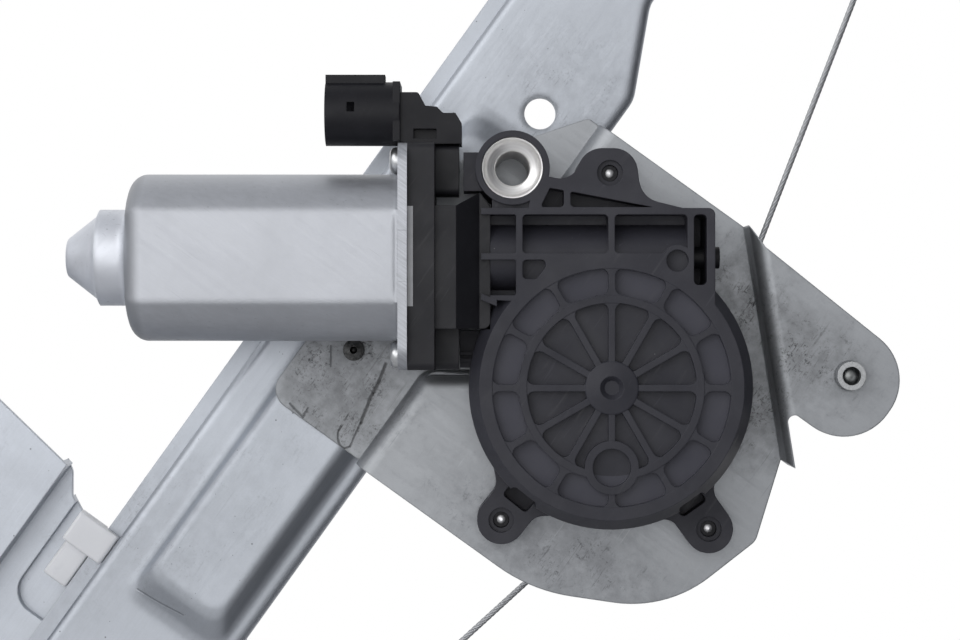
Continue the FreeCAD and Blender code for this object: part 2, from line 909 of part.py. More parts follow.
def build_plate_fasteners():
    rivets = []
    bore = dim.rivet_bore_radius
    wide = 1.5 * dim.rivet_radius
    for number, height in enumerate((-dim.rivet_up, -dim.rivet_down), start=1):
        rivet = new_body(f"plate_rivet_{number}", Frame(-dim.pulley_across, 0, height))
        back = dim.panel_rise - sheet_metal
        profile = [
            (bore, -back + dim.rivet_head),
            (wide, -back + dim.rivet_head),
            (wide, -back),
            (dim.rivet_radius, -back),
            (dim.rivet_radius, -strip_front),
            (wide, -strip_front),
            (wide, -strip_front - dim.rivet_head / 2),
            (bore, -strip_front - dim.rivet_head),
        ]
        turn(rivet, "rivet", TOP, "V_Axis", profile)
        rivets.append(rivet)
    group("plate_rivets", rivets)

    stud = new_body("arm_stud", Frame(dim.stud_across, 0, -dim.stud_down))
    head = dim.stud_head_height
    profile = [
        (dim.stud_bore_radius, -arm_back + head),
        (1.5 * dim.stud_radius, -arm_back + head),
        (1.5 * dim.stud_radius, -arm_back),
        (dim.stud_radius, -arm_back),
        (dim.stud_radius, -arm_front - dim.stud_height),
        (dim.stud_bore_radius, -arm_front - dim.stud_height),
    ]
    turn(stud, "sleeve", TOP, "V_Axis", profile)
    keep(stud)


def along_lug(across, up, places):
    """Points given as (distance from the gear axis, offset to the side, rounding) towards a lug."""
    length = root(across * across + up * up)
    made = []
    for along, side, *rounding in places:
        x = (along * across - side * up) / length
        z = (along * up + side * across) / length
        made.append((x, z, *rounding))
    return made


def disc_rib(inner, outer, both_ends):
    """A rib along +X that widens in a curve where it meets a ring."""
    half = dim.disc_rib_width / 2
    flare = dim.disc_rib_flare
    wide = half + 1.5 * flare
    right = [
        (outer, -half, flare),
        (outer, -wide),
        (outer + half, -wide),
        (outer + half, wide),
        (outer, wide),
        (outer, half, flare),
    ]
    if not both_ends:
        return [(inner, -half), *right, (inner, half)]
    left = [
        (inner, half, flare),
        (inner, wide),
        (inner - half, wide),
        (inner - half, -wide),
        (inner, -wide),
        (inner, -half, flare),
    ]
    return right + left


def build_housing_roof(housing, front):
    """The sloping roof between the bush and the worm frame, with the top lug."""
    wall = dim.frame_wall
    rounding = dim.frame_window_round
    lug_x, lug_z = LUGS["top"]
    wide = dim.lug_radius
    ring = dim.bush_ring_radius
    roof = [
        (-dim.bush_left + 0.4 * ring, dim.frame_top - wall),
        (-dim.bush_left + 0.6 * ring, dim.bush_up - wall),
        (lug_x - wide - 2 * wall, lug_z - wide / 3, 0.8 * wide),
        (lug_x - wide, lug_z + wide, 0.98 * wide),
        (lug_x + wide, lug_z + wide, 0.98 * wide),
        (lug_x + wide + wall, lug_z - wide, wide),
        (dim.frame_right - wall, dim.frame_top - wall),
    ]
    pad(housing, "roof", FRONT, plate_front, front - plate_front, roof)
    middle_x = -dim.roof_rib_left
    low = dim.frame_top + wall / 8

    def under_roof(x):
        return dim.bush_up - 2.2 * wall - (x + dim.bush_left) * dim.roof_slope

    left_window = [
        (-dim.bush_left + 0.75 * ring, low, rounding / 2),
        (middle_x, low, rounding),
        (middle_x, under_roof(middle_x), rounding / 2),
        (-dim.bush_left + ring, under_roof(-dim.bush_left + ring)),
    ]
    right_window = [
        (middle_x + wall, low, rounding),
        (0.4 * dim.frame_right, low),
        (middle_x + wall, under_roof(middle_x + wall), rounding / 2),
    ]
    depth = dim.frame_window_depth
    pocket(housing, "roof_windows", FRONT, front - depth, depth + 1, left_window, right_window)


def build_worm_frame(housing, front):
    """The ribbed frame round the worm, with the tunnel behind its windows."""
    wall = dim.frame_wall
    rounding = dim.frame_window_round
    depth = dim.frame_window_depth
    left = -dim.block_nose_right
    right = dim.frame_right
    bottom = dim.frame_bottom
    frame = [
        (left, bottom),
        (right, bottom - 2 * wall),
        (right, dim.frame_top, 1.5 * rounding),
        (left, dim.frame_top),
    ]
    pad(housing, "worm_frame", FRONT, plate_front, front - plate_front, frame)
    high = dim.frame_top - wall
    mid = dim.frame_middle
    windows = [
        box_outline(-dim.frame_left_rib + wall, mid, -dim.frame_mid_rib, high, rounding),
        box_outline(-dim.frame_mid_rib + wall, mid, dim.frame_right_rib - wall, high, rounding),
        box_outline(left - 1, mid, -dim.frame_left_rib, high, rounding / 2),
        box_outline(left - 1, bottom + rounding, -dim.frame_left_rib, mid - wall, rounding / 2),
    ]
    for number, window in enumerate(windows, start=1):
        pocket(housing, f"worm_window_{number}", FRONT, front - depth, depth + 1, window)
    slot_low = bottom + 2.3 * wall
    slot = box_outline(dim.frame_right_rib, slot_low, right - 1.3 * wall, high, rounding)
    pocket(housing, "end_slot", FRONT, front - 2 * depth, 2 * depth + 1, slot)
    tunnel = Ring(-worm_depth, dim.worm_across, dim.tunnel_radius)
    pad(housing, "worm_tunnel", SIDE, left, dim.frame_right_rib - left, tunnel)
    eye_left = -dim.frame_left_rib + wall
    eye_right = eye_left + dim.eye_width
    eye_low = mid - wall - dim.eye_height
    eye = [
        (eye_left, eye_low, rounding),
        (eye_left + dim.eye_width * 0.6, eye_low, rounding),
        (eye_right, mid - wall - dim.eye_height * 0.4, rounding),
        (eye_right, mid - wall, rounding),
        (eye_left, mid - wall, rounding),
    ]
    eye_floor = worm_depth + dim.tunnel_bore_radius + dim.part_gap
    pocket(housing, "eye", FRONT, eye_floor, front - eye_floor + 1, eye)


def build_disc(housing, front, floor):
    """The ribbed disc: spokes, rings, bosses and hub standing on a floor inside the rim."""
    bed = floor - dim.rib_root
    rise = front - bed
    lower = rise - dim.rib_drop
    pocket(housing, "disc_recess", FRONT, floor, front - floor + 1, Ring(0, 0, dim.disc_rim_inner))
    rings = [Ring(0, 0, dim.disc_ring_outer), Ring(0, 0, dim.disc_ring_inner)]
    pad(housing, "middle_ring", FRONT, bed, rise, *rings)
    inner = disc_rib(dim.disc_hub_radius - 1, dim.disc_ring_inner, False)
    spoke = pad(housing, "spoke", FRONT, bed, lower, inner)
    repeat_round(housing, "spokes", spoke, "Y_Axis", dim.disc_rib_count)
    outer = disc_rib(dim.disc_ring_outer, dim.disc_rim_inner, True)
    divider = pad(housing, "divider", FRONT, bed, lower, outer)
    repeat_round(housing, "dividers", divider, "Y_Axis", dim.disc_rib_count)
    bosses = (
        ("lower", 0, -dim.disc_boss_down, dim.disc_boss_radius, dim.disc_boss_bore),
        ("upper", dim.ear_across, dim.ear_up, dim.ear_radius, dim.ear_bore),
    )
    for name, x, z, radius, bore in bosses:
        pad(housing, f"{name}_boss", FRONT, bed, rise, Ring(x, z, radius))
        pocket(housing, f"{name}_boss_recess", FRONT, floor, front - floor + 1, Ring(x, z, bore))
    dimple = dim.disc_hub_dimple
    hub = [
        (0, -bed),
        (dim.disc_hub_radius, -bed),
        (dim.disc_hub_radius, -front, dim.rib_root),
        (dimple, -front - dim.hub_rise),
        (0.6 * dimple, -front + dim.hub_rise),
        (0, -front + dim.hub_rise),
    ]
    turn(housing, "hub", TOP, "V_Axis", hub)


def build_bush_seat(housing, front):
    """The ring that holds the bush, with its neck and the shelf beside the connector."""
    ring = dim.bush_ring_radius
    seat = strip_front + dim.part_gap
    pad(housing, "bush_ring", FRONT, seat, front - seat, Ring(-dim.bush_left, dim.bush_up, ring))
    half = 0.55 * ring
    low = dim.bush_up - 0.6 * ring
    neck = box_outline(-dim.bush_left - half, dim.frame_top - 1, -dim.bush_left + half, low)
    pad(housing, "neck", FRONT, plate_front, front - plate_front - dim.frame_wall, neck)
    shelf = box_outline(-dim.elbow_right + dim.part_gap, low, -dim.bush_left, dim.bush_up + 0.45 * ring)
    shelf_back = plate_front + dim.lug_height
    pad(housing, "bush_shelf", FRONT, shelf_back, front - dim.shelf_drop - shelf_back, shelf)
    bore = Ring(-dim.bush_left, dim.bush_up, dim.bush_radius)
    pocket(housing, "bush_seat", FRONT, strip_front - 1, front - strip_front + 2, bore)


def build_nose_seat(housing, front):
    """Room for the brush housing's nose, the bars that reach over it and the heel below it."""
    left = -dim.block_nose_right
    gap = dim.part_gap / 2
    low = dim.worm_across - dim.block_nose_bottom - gap
    seat = box_outline(-dim.can_right, low, left, dim.worm_across + dim.block_nose_top)
    back = worm_depth - dim.block_nose_half_depth - gap
    pocket(housing, "nose_seat", FRONT, back, front - back + 1, seat)
    wall = dim.frame_wall
    end = left - dim.bar_overhang
    bars = [
        box_outline(end, dim.frame_top - wall, left + wall, dim.frame_top),
        box_outline(end, dim.frame_middle - wall, left + wall, dim.frame_middle),
        [
            (end, dim.frame_bottom),
            (left + wall, dim.frame_bottom - wall),
            (left + wall, dim.frame_bottom),
            (end, dim.frame_bottom + wall),
        ],
    ]
    for number, bar in enumerate(bars, start=1):
        pad(housing, f"bar_{number}", FRONT, front - dim.bar_depth, dim.bar_depth, bar)
    heel_low = dim.heel_low
    heel_high = low - gap
    heel = box_outline(-dim.heel_left, heel_low, left, heel_high)
    top = plate_front + dim.heel_height
    pad(housing, "heel", FRONT, plate_front, dim.heel_height, heel)
    for number in (1, 2):
        foot = heel_low + number * wall
        rib = box_outline(-dim.heel_left, foot, left, foot + wall / 2)
        pad(housing, f"heel_rib_{number}", FRONT, top, wall, rib)


def build_housing_inside(housing, front, floor):
    """Wheel chamber, worm bore, axle seat and screw holes."""
    roof_inside = floor - dim.housing_wall
    chamber = dim.disc_rim_inner + dim.part_gap
    hollow = [
        (0, -plate_front + 1),
        (chamber, -plate_front + 1),
        (chamber, -roof_inside, dim.housing_wall),
        (0, -roof_inside),
    ]
    groove(housing, "wheel_chamber", TOP, "V_Axis", hollow)
    left = -dim.block_nose_right - 1
    bore = Ring(-worm_depth, dim.worm_across, dim.tunnel_bore_radius)
    pocket(housing, "worm_bore", SIDE, left, dim.frame_right_rib - 1 - left, bore)
    plug_start = dim.frame_right_rib - 2 * dim.frame_wall
    plug_bore = Ring(-worm_depth, dim.worm_across, dim.plug_radius)
    pocket(housing, "plug_bore", SIDE, plug_start, dim.frame_right + 1 - plug_start, plug_bore)
    boss_back = roof_inside - dim.part_gap
    pad(housing, "axle_boss", FRONT, boss_back, 1, Ring(0, 0, dim.wheel_hub_radius))
    seat_back = roof_inside - dim.housing_wall
    depth = dim.housing_wall + dim.axle_seat_depth
    pocket(housing, "axle_seat", FRONT, seat_back, depth, Ring(0, 0, dim.axle_radius))
    for name, (x, z) in LUGS.items():
        face = front if name == "top" else plate_front + dim.lug_height
        sink = face - dim.lug_sink_depth
        pocket(housing, f"{name}_screw_hole", FRONT, plate_front - 1, front, Ring(x, z, dim.lug_bore_radius))
        pocket(housing, f"{name}_screw_sink", FRONT, sink, front, Ring(x, z, dim.lug_sink_radius))


def build_gear_housing():
    housing = new_body("gear_housing", GEAR)
    front = housing_front
    floor = front - dim.disc_rib_depth
    radius = dim.housing_radius
    case = [
        (0, -plate_front),
        (radius, -plate_front),
        (radius, -front + dim.housing_shoulder, dim.housing_edge_bevel),
        (dim.disc_rim_outer, -front),
        (0, -front),
    ]
    turn(housing, "case", TOP, "V_Axis", case)
    half = dim.lug_radius
    fillet = dim.lug_fillet
    for name in ("left", "right"):
        x, z = LUGS[name]
        length = root(x * x + z * z)
        pad(housing, f"{name}_lug", FRONT, plate_front, dim.lug_height, Ring(x, z, half))
        side = [
            (length, half),
            (radius + 0.5 * fillet, half, fillet),
            (radius - 0.7 * fillet, 2 * half),
            (radius - 2 * fillet, 2 * half),
        ]
        other = [(along, -across, *rounding) for along, across, *rounding in reversed(side)]
        pad(housing, f"{name}_lug_web", FRONT, plate_front, dim.lug_height, along_lug(x, z, side + other))
    build_housing_roof(housing, front)
    build_worm_frame(housing, front)
    build_disc(housing, front, floor)
    build_bush_seat(housing, front)
    build_nose_seat(housing, front)
    build_housing_inside(housing, front, floor)
    slot_half = dim.lug_slot_width / 2
    for name in ("left", "right"):
        x, z = LUGS[name]
        near_end = radius - slot_half / 2
        far_end = near_end + 1.6 * slot_half
        outline = box_outline(near_end, -1.4 * slot_half, far_end, 1.4 * slot_half, dim.frame_window_round)
        deep = plate_front + dim.housing_wall
        pocket(housing, f"{name}_lug_slot", FRONT, deep, front, along_lug(x, z, outline))
    return keep(housing)


def build_bush():
    centre = GEAR.moved(-dim.bush_left, 0, dim.bush_up)
    bush = new_body("mounting_bush", centre)
    top = housing_front - 1
    dish = dim.bush_dish_depth
    bore = dim.bush_bore_radius
    wall = dim.bush_wall
    profile = [
        (bore, -strip_front),
        (dim.bush_radius - wall, -strip_front),
        (dim.bush_radius - wall, -top + dish + wall),
        (dim.bush_radius, -top + dish + wall / 2),
        (dim.bush_radius, -top),
        (dim.bush_radius - wall / 2, -top, wall / 4),
        (bore, -top + dish, wall / 2),
    ]
    turn(bush, "dished_sleeve", TOP, "V_Axis", profile)
    keep(bush)


def build_motor():
    can = new_body("motor_can", MOTOR)
    left = -dim.can_left
    right = -dim.can_right
    length = right - left
    flat = dim.can_flat_half
    wall = dim.can_wall
    radius = dim.can_radius
    pad(can, "tube", SIDE, left, length, Ring(0, 0, radius))
    wide = radius + 1
    sides = [box_outline(flat, -wide, wide, wide), box_outline(-wide, -wide, -flat, wide)]
    pocket(can, "flats", SIDE, left - 1, length + 2, *sides)
    round_edges(can, "shoulder", dim.can_shoulder, lambda edge: near(edge.BoundBox.XMax, left))
    cap_radius = dim.cap_radius
    cap = [
        (left + 1, 0),
        (left + 1, cap_radius + 1.5 * wall),
        (left - wall, cap_radius),
        (-dim.cap_left + wall / 2, cap_radius),
        (-dim.cap_left, cap_radius - wall),
        (-dim.cone_left, dim.cone_end_radius, wall * 0.8),
        (-dim.cone_left, 0),
    ]
    turn(can, "bearing_cap", FRONT, "H_Axis", cap)
    reach = dim.flange_half_height
    depth = dim.flange_half_depth
    plate = box_outline(-depth, -reach, depth, reach, dim.flange_corner)
    pad(can, "flange", SIDE, right, dim.flange_thickness, plate)
    deep_end = left + dim.can_shoulder
    hollow = [
        (right + 2 * dim.flange_thickness, 0),
        (right + 2 * dim.flange_thickness, flat - wall),
        (left + wall, flat - wall, dim.can_shoulder - wall),
        (left + wall, dim.bearing_radius),
        (-dim.cap_left, dim.bearing_radius),
        (-dim.cap_left, dim.cone_end_radius),
        (-dim.cone_left + wall, dim.cone_end_radius - 1),
        (-dim.cone_left + wall, 0),
    ]
    groove(can, "round_hollow", FRONT, "H_Axis", hollow)
    pocket(can, "wide_hollow", SIDE, deep_end, dim.can_left, Ring(0, 0, radius - wall))
    half_flat = root(radius * radius - flat * flat)
    refill = [
        box_outline(flat - wall, -half_flat, flat, half_flat),
        box_outline(-flat, -half_flat, -flat + wall, half_flat),
    ]
    pad(can, "flat_walls", SIDE, deep_end, right - deep_end, *refill)
    screw_radius = dim.can_screw_radius
    holes = [Ring(0, side * dim.can_screw_offset, screw_radius) for side in (1, -1)]
    pocket(can, "screw_holes", SIDE, right - 1, dim.flange_thickness + 2, *holes)
    keep(can)

    screws = []
    head = dim.can_screw_head
    head_radius = dim.can_screw_head_radius
    tip = right + dim.can_screw_length
    for number, side in enumerate((1, -1), start=1):
        screw = new_body(f"motor_screw_{number}", MOTOR.moved(0, 0, side * dim.can_screw_offset))
        profile = [
            (right - head, 0),
            (right - head, head_radius, 0.6 * head),
            (right, head_radius),
            (right, screw_radius),
            (tip, screw_radius),
            (tip, 0),
        ]
        turn(screw, "pan_head", FRONT, "H_Axis", profile)
        screws.append(screw)
    group("motor_screws", screws)

    block_left = right + dim.flange_thickness
    block_right = block_left + dim.block_length
    block = new_body("brush_housing", MOTOR)
    deep = dim.block_half_depth
    tall = dim.flange_half_height
    rounding = dim.block_round
    face = box_outline(-deep, -tall, deep, tall, rounding)
    pad(block, "flange_block", SIDE, block_left, dim.block_length, face)
    boss = dim.block_boss_height
    boss_half = 1.7 * head_radius
    for name, low, high in (("upper", tall - boss, tall), ("lower", -tall, -tall + boss)):
        outline = box_outline(-boss_half, low, boss_half, high, rounding)
        pad(block, f"{name}_boss", SIDE, block_right, dim.block_boss_length, outline)
    nose_deep = dim.block_nose_half_depth
    nose_end = -dim.block_nose_right
    top = dim.block_nose_top
    bottom = -dim.block_nose_bottom
    nose = [
        (block_right, bottom),
        (nose_end, bottom, rounding),
        (nose_end, top, rounding),
        (nose_end - dim.nose_peak_inset, top + dim.nose_peak),
        (block_right + 2 * dim.nose_peak_inset, top),
        (block_right, top),
    ]
    pad(block, "nose", FRONT, -nose_deep, 2 * nose_deep, nose)
    slope = [
        (block_right + dim.nose_face, -nose_deep - 1),
        (block_right + dim.nose_face, -nose_deep),
        (nose_end - dim.bar_overhang - dim.part_gap, -nose_deep + dim.nose_drop),
        (nose_end + 1, -nose_deep + dim.nose_drop),
        (nose_end + 1, -nose_deep - 1),
    ]
    pocket(block, "nose_slope", TOP, -tall, 2 * tall, slope)
    bearing = dim.bearing_radius
    passage = dim.shaft_radius + dim.part_gap
    seat = block_right - 1
    cavity = [
        (block_left - 1, 0),
        (block_left - 1, dim.commutator_radius + 2 * dim.shaft_radius / 3 * 2),
        (seat, dim.commutator_radius + 2 * dim.shaft_radius / 3 * 2),
        (seat, bearing),
        (seat + dim.bearing_length + 1, bearing),
        (seat + dim.bearing_length + 1, passage),
        (nose_end + 1, passage),
        (nose_end + 1, 0),
    ]
    groove(block, "shaft_passage", FRONT, "H_Axis", cavity)
    through = dim.block_length + dim.block_boss_length + 2
    pocket(block, "screw_holes", SIDE, block_left - 1, through, *holes)
    seal_deep = -deep + 2 * dim.can_wall
    recess = box_outline(-deep - 1, -dim.seal_half_height, seal_deep, dim.seal_half_height)
    pocket(block, "seal_seat", SIDE, block_left - 1, 1 + dim.seal_thickness, recess)
    keep(block)

    strip = new_body("seal_strip", MOTOR)
    outline = box_outline(-deep, -dim.seal_half_height, seal_deep, dim.seal_half_height)
    pad(strip, "strip", SIDE, block_left, dim.seal_thickness, outline)
    keep(strip)
    return block_left, block_right


def build_connector(block_left, block_right):
    frame = MOTOR.moved(0, 0, dim.socket_up - dim.worm_across)
    socket = new_body("connector", frame)
    left = -dim.socket_left
    right = -dim.socket_right
    outer = dim.socket_radius
    pad(socket, "barrel", SIDE, left, right - left, Ring(0, 0, outer))
    key_half = dim.socket_key_width / 2
    key = box_outline(-key_half, outer - dim.socket_wall, key_half, outer + dim.socket_key_height)
    pad(socket, "key", SIDE, left, (right - left) * 0.8, key)
    low = dim.worm_across + dim.flange_half_height - dim.socket_up + dim.part_gap / 2
    high = dim.elbow_top - dim.socket_up
    step = dim.elbow_step
    far = -dim.elbow_right
    elbow = [
        (-dim.elbow_left, -0.9 * outer),
        (block_left + dim.part_gap / 2, low),
        (far, low),
        (far, high - 3 * step),
        (far - 0.6 * step, high - 2 * step),
        (far - 1.8 * step, high - 2 * step),
        (far - 2.4 * step, high - 1.4 * step),
        (far - 3.5 * step, high - 1.3 * step),
        (far - 4.2 * step, high, step / 3),
        (-dim.elbow_left, high),
    ]
    deep = dim.elbow_half_depth
    pad(socket, "elbow", FRONT, -deep, 2 * deep, elbow)
    collar_left = -dim.elbow_left - dim.socket_wall
    collar_right = -dim.elbow_left + dim.socket_wall / 2
    collar = box_outline(collar_left, -0.9 * outer, collar_right, high + step)
    pad(socket, "collar", FRONT, -deep - 1, 2 * deep + 2, collar)
    clip_low = low + dim.clip_inset
    clip_left = block_left + dim.clip_inset
    clip = box_outline(clip_left, clip_low, clip_left + dim.clip_width, clip_low + dim.clip_height)
    pocket(socket, "clip_window", FRONT, deep - dim.clip_height, deep, clip)
    depth = dim.socket_left - dim.socket_right - dim.socket_floor
    pocket(socket, "socket_bore", SIDE, left - 1, depth + 1, Ring(0, 0, outer - dim.socket_wall))
    latch_left = left + dim.latch_inset
    latch = box_outline(latch_left, 0, latch_left + dim.latch_width, dim.latch_height)
    pocket(socket, "latch_window", FRONT, outer - 2 * dim.socket_wall, 3 * dim.socket_wall, latch)
    keep(socket)

    half = dim.pin_width / 2
    space = dim.pin_spacing / 2
    pins = new_body("connector_pins", frame)
    start = left + depth
    outlines = []
    for x in (-space, space):
        for y in (-space, space):
            outlines.append(box_outline(x - half, y - half, x + half, y + half))
    pad(pins, "pins", SIDE, start - dim.pin_length, dim.pin_length, *outlines)
    keep(pins)


def build_armature():
    left = -dim.cone_left + dim.can_wall + dim.shaft_end_gap
    pitch_radius = dim.worm_across - dim.worm_module * dim.worm_teeth / 2
    root_radius = pitch_radius - dim.worm_root
    pitch = dim.worm_module * math.pi
    reach = pitch * dim.worm_length_turns / 2
    right = dim.frame_right + dim.plug_proud - dim.plug_length - 2 * dim.thrust_ball_radius - dim.running_gap
    shaft = new_body("armature_shaft", MOTOR)
    thin = dim.shaft_radius
    profile = [
        (left, 0),
        (left, thin),
        (-reach - 3, thin),
        (-reach - 3, root_radius),
        (reach + 3, root_radius),
        (reach + 3, thin - 0.4),
        (right, thin - 0.4),
        (right, 0),
    ]
    turn(shaft, "bar", FRONT, "H_Axis", profile)
    tip = -pitch_radius - dim.worm_tip
    bed = -root_radius + 0.3
    half = dim.thread_width / 2
    section = [
        (-reach - half - 0.25, bed),
        (-reach - half, tip),
        (-reach + half, tip),
        (-reach + half + 0.25, bed),
    ]
    sketch = draw(shaft, "thread_section", FRONT, 0, [section])
    thread = shaft.newObject("PartDesign::AdditiveHelix", "worm_thread")
    thread.Profile = sketch
    thread.ReferenceAxis = (sketch, ["H_Axis"])
    thread.Mode = "pitch-turns-angle"
    thread.Pitch = pitch.value
    thread.Turns = dim.worm_length_turns.value
    thread.setExpression("Pitch", pitch.formula)
    thread.setExpression("Turns", dim.worm_length_turns.formula)
    thread.LeftHanded = False
    shaft.Tip = thread
    keep(shaft)

    core = new_body("armature_core", MOTOR)
    start = -dim.armature_start
    pad(
        core,
        "stack",
        SIDE,
        start,
        dim.armature_length,
        Ring(0, 0, dim.armature_radius),
        Ring(0, 0, dim.shaft_radius),
    )
    slot = box_outline(-1.1, dim.armature_radius - 4, 1.1, dim.armature_radius + 1)
    cut = pocket(core, "slot", SIDE, start - 1, dim.armature_length + 2, slot)
    repeat_round(core, "slots", cut, "X_Axis", dim.armature_slots)
    keep(core)

    windings = []
    over = dim.winding_overhang
    for number, place_x in enumerate((start - over, start + dim.armature_length), start=1):
        coil = new_body(f"winding_{number}", MOTOR)
        profile = [
            (place_x, dim.shaft_radius),
            (place_x + over, dim.shaft_radius),
            (place_x + over, dim.armature_radius - 1.2),
            (place_x, dim.armature_radius - 1.2),
        ]
        turn(coil, "coil", FRONT, "H_Axis", profile)
        windings.append(coil)
    group("windings", windings)

    commutator = new_body("commutator", MOTOR)
    pad(
        commutator,
        "segments",
        SIDE,
        -dim.commutator_start,
        dim.commutator_length,
        Ring(0, 0, dim.commutator_radius),
        Ring(0, 0, dim.shaft_radius),
    )
    gap = box_outline(-0.25, dim.commutator_radius - 1, 0.25, dim.commutator_radius + 1)
    cut = pocket(commutator, "gap", SIDE, -dim.commutator_start - 1, dim.commutator_length + 2, gap)
    repeat_round(commutator, "gaps", cut, "X_Axis", dim.armature_slots)
    keep(commutator)


def build_motor_inside(block_right):
    inner = dim.armature_radius + dim.magnet_gap
    outer = dim.can_radius - dim.can_wall
    start = -dim.armature_start + dim.armature_length / 2 - dim.magnet_length / 2
    magnets = new_body("magnets", MOTOR)
    pad(magnets, "ring", SIDE, start, dim.magnet_length, Ring(0, 0, outer), Ring(0, 0, inner))
    side = dim.can_flat_half - dim.can_wall - 1.5
    cuts = box_outline(-outer - 2, -0.42 * outer, outer + 2, 0.42 * outer)
    pocket(magnets, "split", SIDE, start - 1, dim.magnet_length + 2, cuts)
    flanks = [box_outline(side, -outer, outer + 2, outer), box_outline(-outer - 2, -outer, -side, outer)]
    pocket(magnets, "flanks", SIDE, start - 1, dim.magnet_length + 2, *flanks)
    keep(magnets)

    brush_x = -dim.commutator_start + dim.commutator_length / 2
    brush_parts = []
    spring_parts = []
    for number, side in enumerate((1, -1), start=1):
        near_end = dim.commutator_radius + dim.running_gap
        half = dim.brush_width / 2
        brush = new_body(f"brush_{number}", MOTOR)
        outline = [
            (brush_x - half, side * near_end),
            (brush_x + half, side * near_end),
            (brush_x + half, side * (near_end + dim.brush_length)),
            (brush_x - half, side * (near_end + dim.brush_length)),
        ]
        pad(brush, "carbon", FRONT, -half, dim.brush_width, outline)
        brush_parts.append(brush)
        spring = new_body(f"brush_spring_{number}", MOTOR)
        start_z = near_end + dim.brush_length
        end_z = dim.can_radius - dim.can_wall - dim.part_gap
        coil = [
            (brush_x - half * 0.8, side * start_z),
            (brush_x + half * 0.8, side * start_z),
            (brush_x + half * 0.8, side * end_z),
            (brush_x - half * 0.8, side * end_z),
        ]
        pad(spring, "spring", FRONT, -half * 0.8, dim.brush_width * 0.8, coil)
        spring_parts.append(spring)
    group("brushes", brush_parts)
    group("brush_springs", spring_parts)

    for label, place_x, length in (
        ("rear_bearing", -dim.cap_left, dim.bearing_length),
        ("front_bearing", block_right - 1, dim.bearing_length),
    ):
        bearing = new_body(label, MOTOR)
        pad(
            bearing,
            "sleeve",
            SIDE,
            place_x,
            length,
            Ring(0, 0, dim.bearing_radius),
            Ring(0, 0, dim.shaft_radius + dim.running_gap),
        )
        keep(bearing)

    plug = new_body("thrust_plug", MOTOR)
    end = dim.frame_right + dim.plug_proud
    profile = [
        (end - dim.plug_length, 0),
        (end - dim.plug_length, dim.plug_radius),
        (end, dim.plug_radius),
        (end, 1.2),
        (end - 1, 1.0),
        (end - 1, 0),
    ]
    turn(plug, "plug", FRONT, "H_Axis", profile)
    keep(plug)
    ball = doc.addObject("Part::Sphere", "thrust_ball")
    ball.Label = "thrust_ball"
    ball.Radius = dim.thrust_ball_radius.value
    ball.setExpression("Radius", dim.thrust_ball_radius.formula)
    place(ball, MOTOR.moved(end - dim.plug_length - dim.thrust_ball_radius, 0, 0))
    keep(ball)


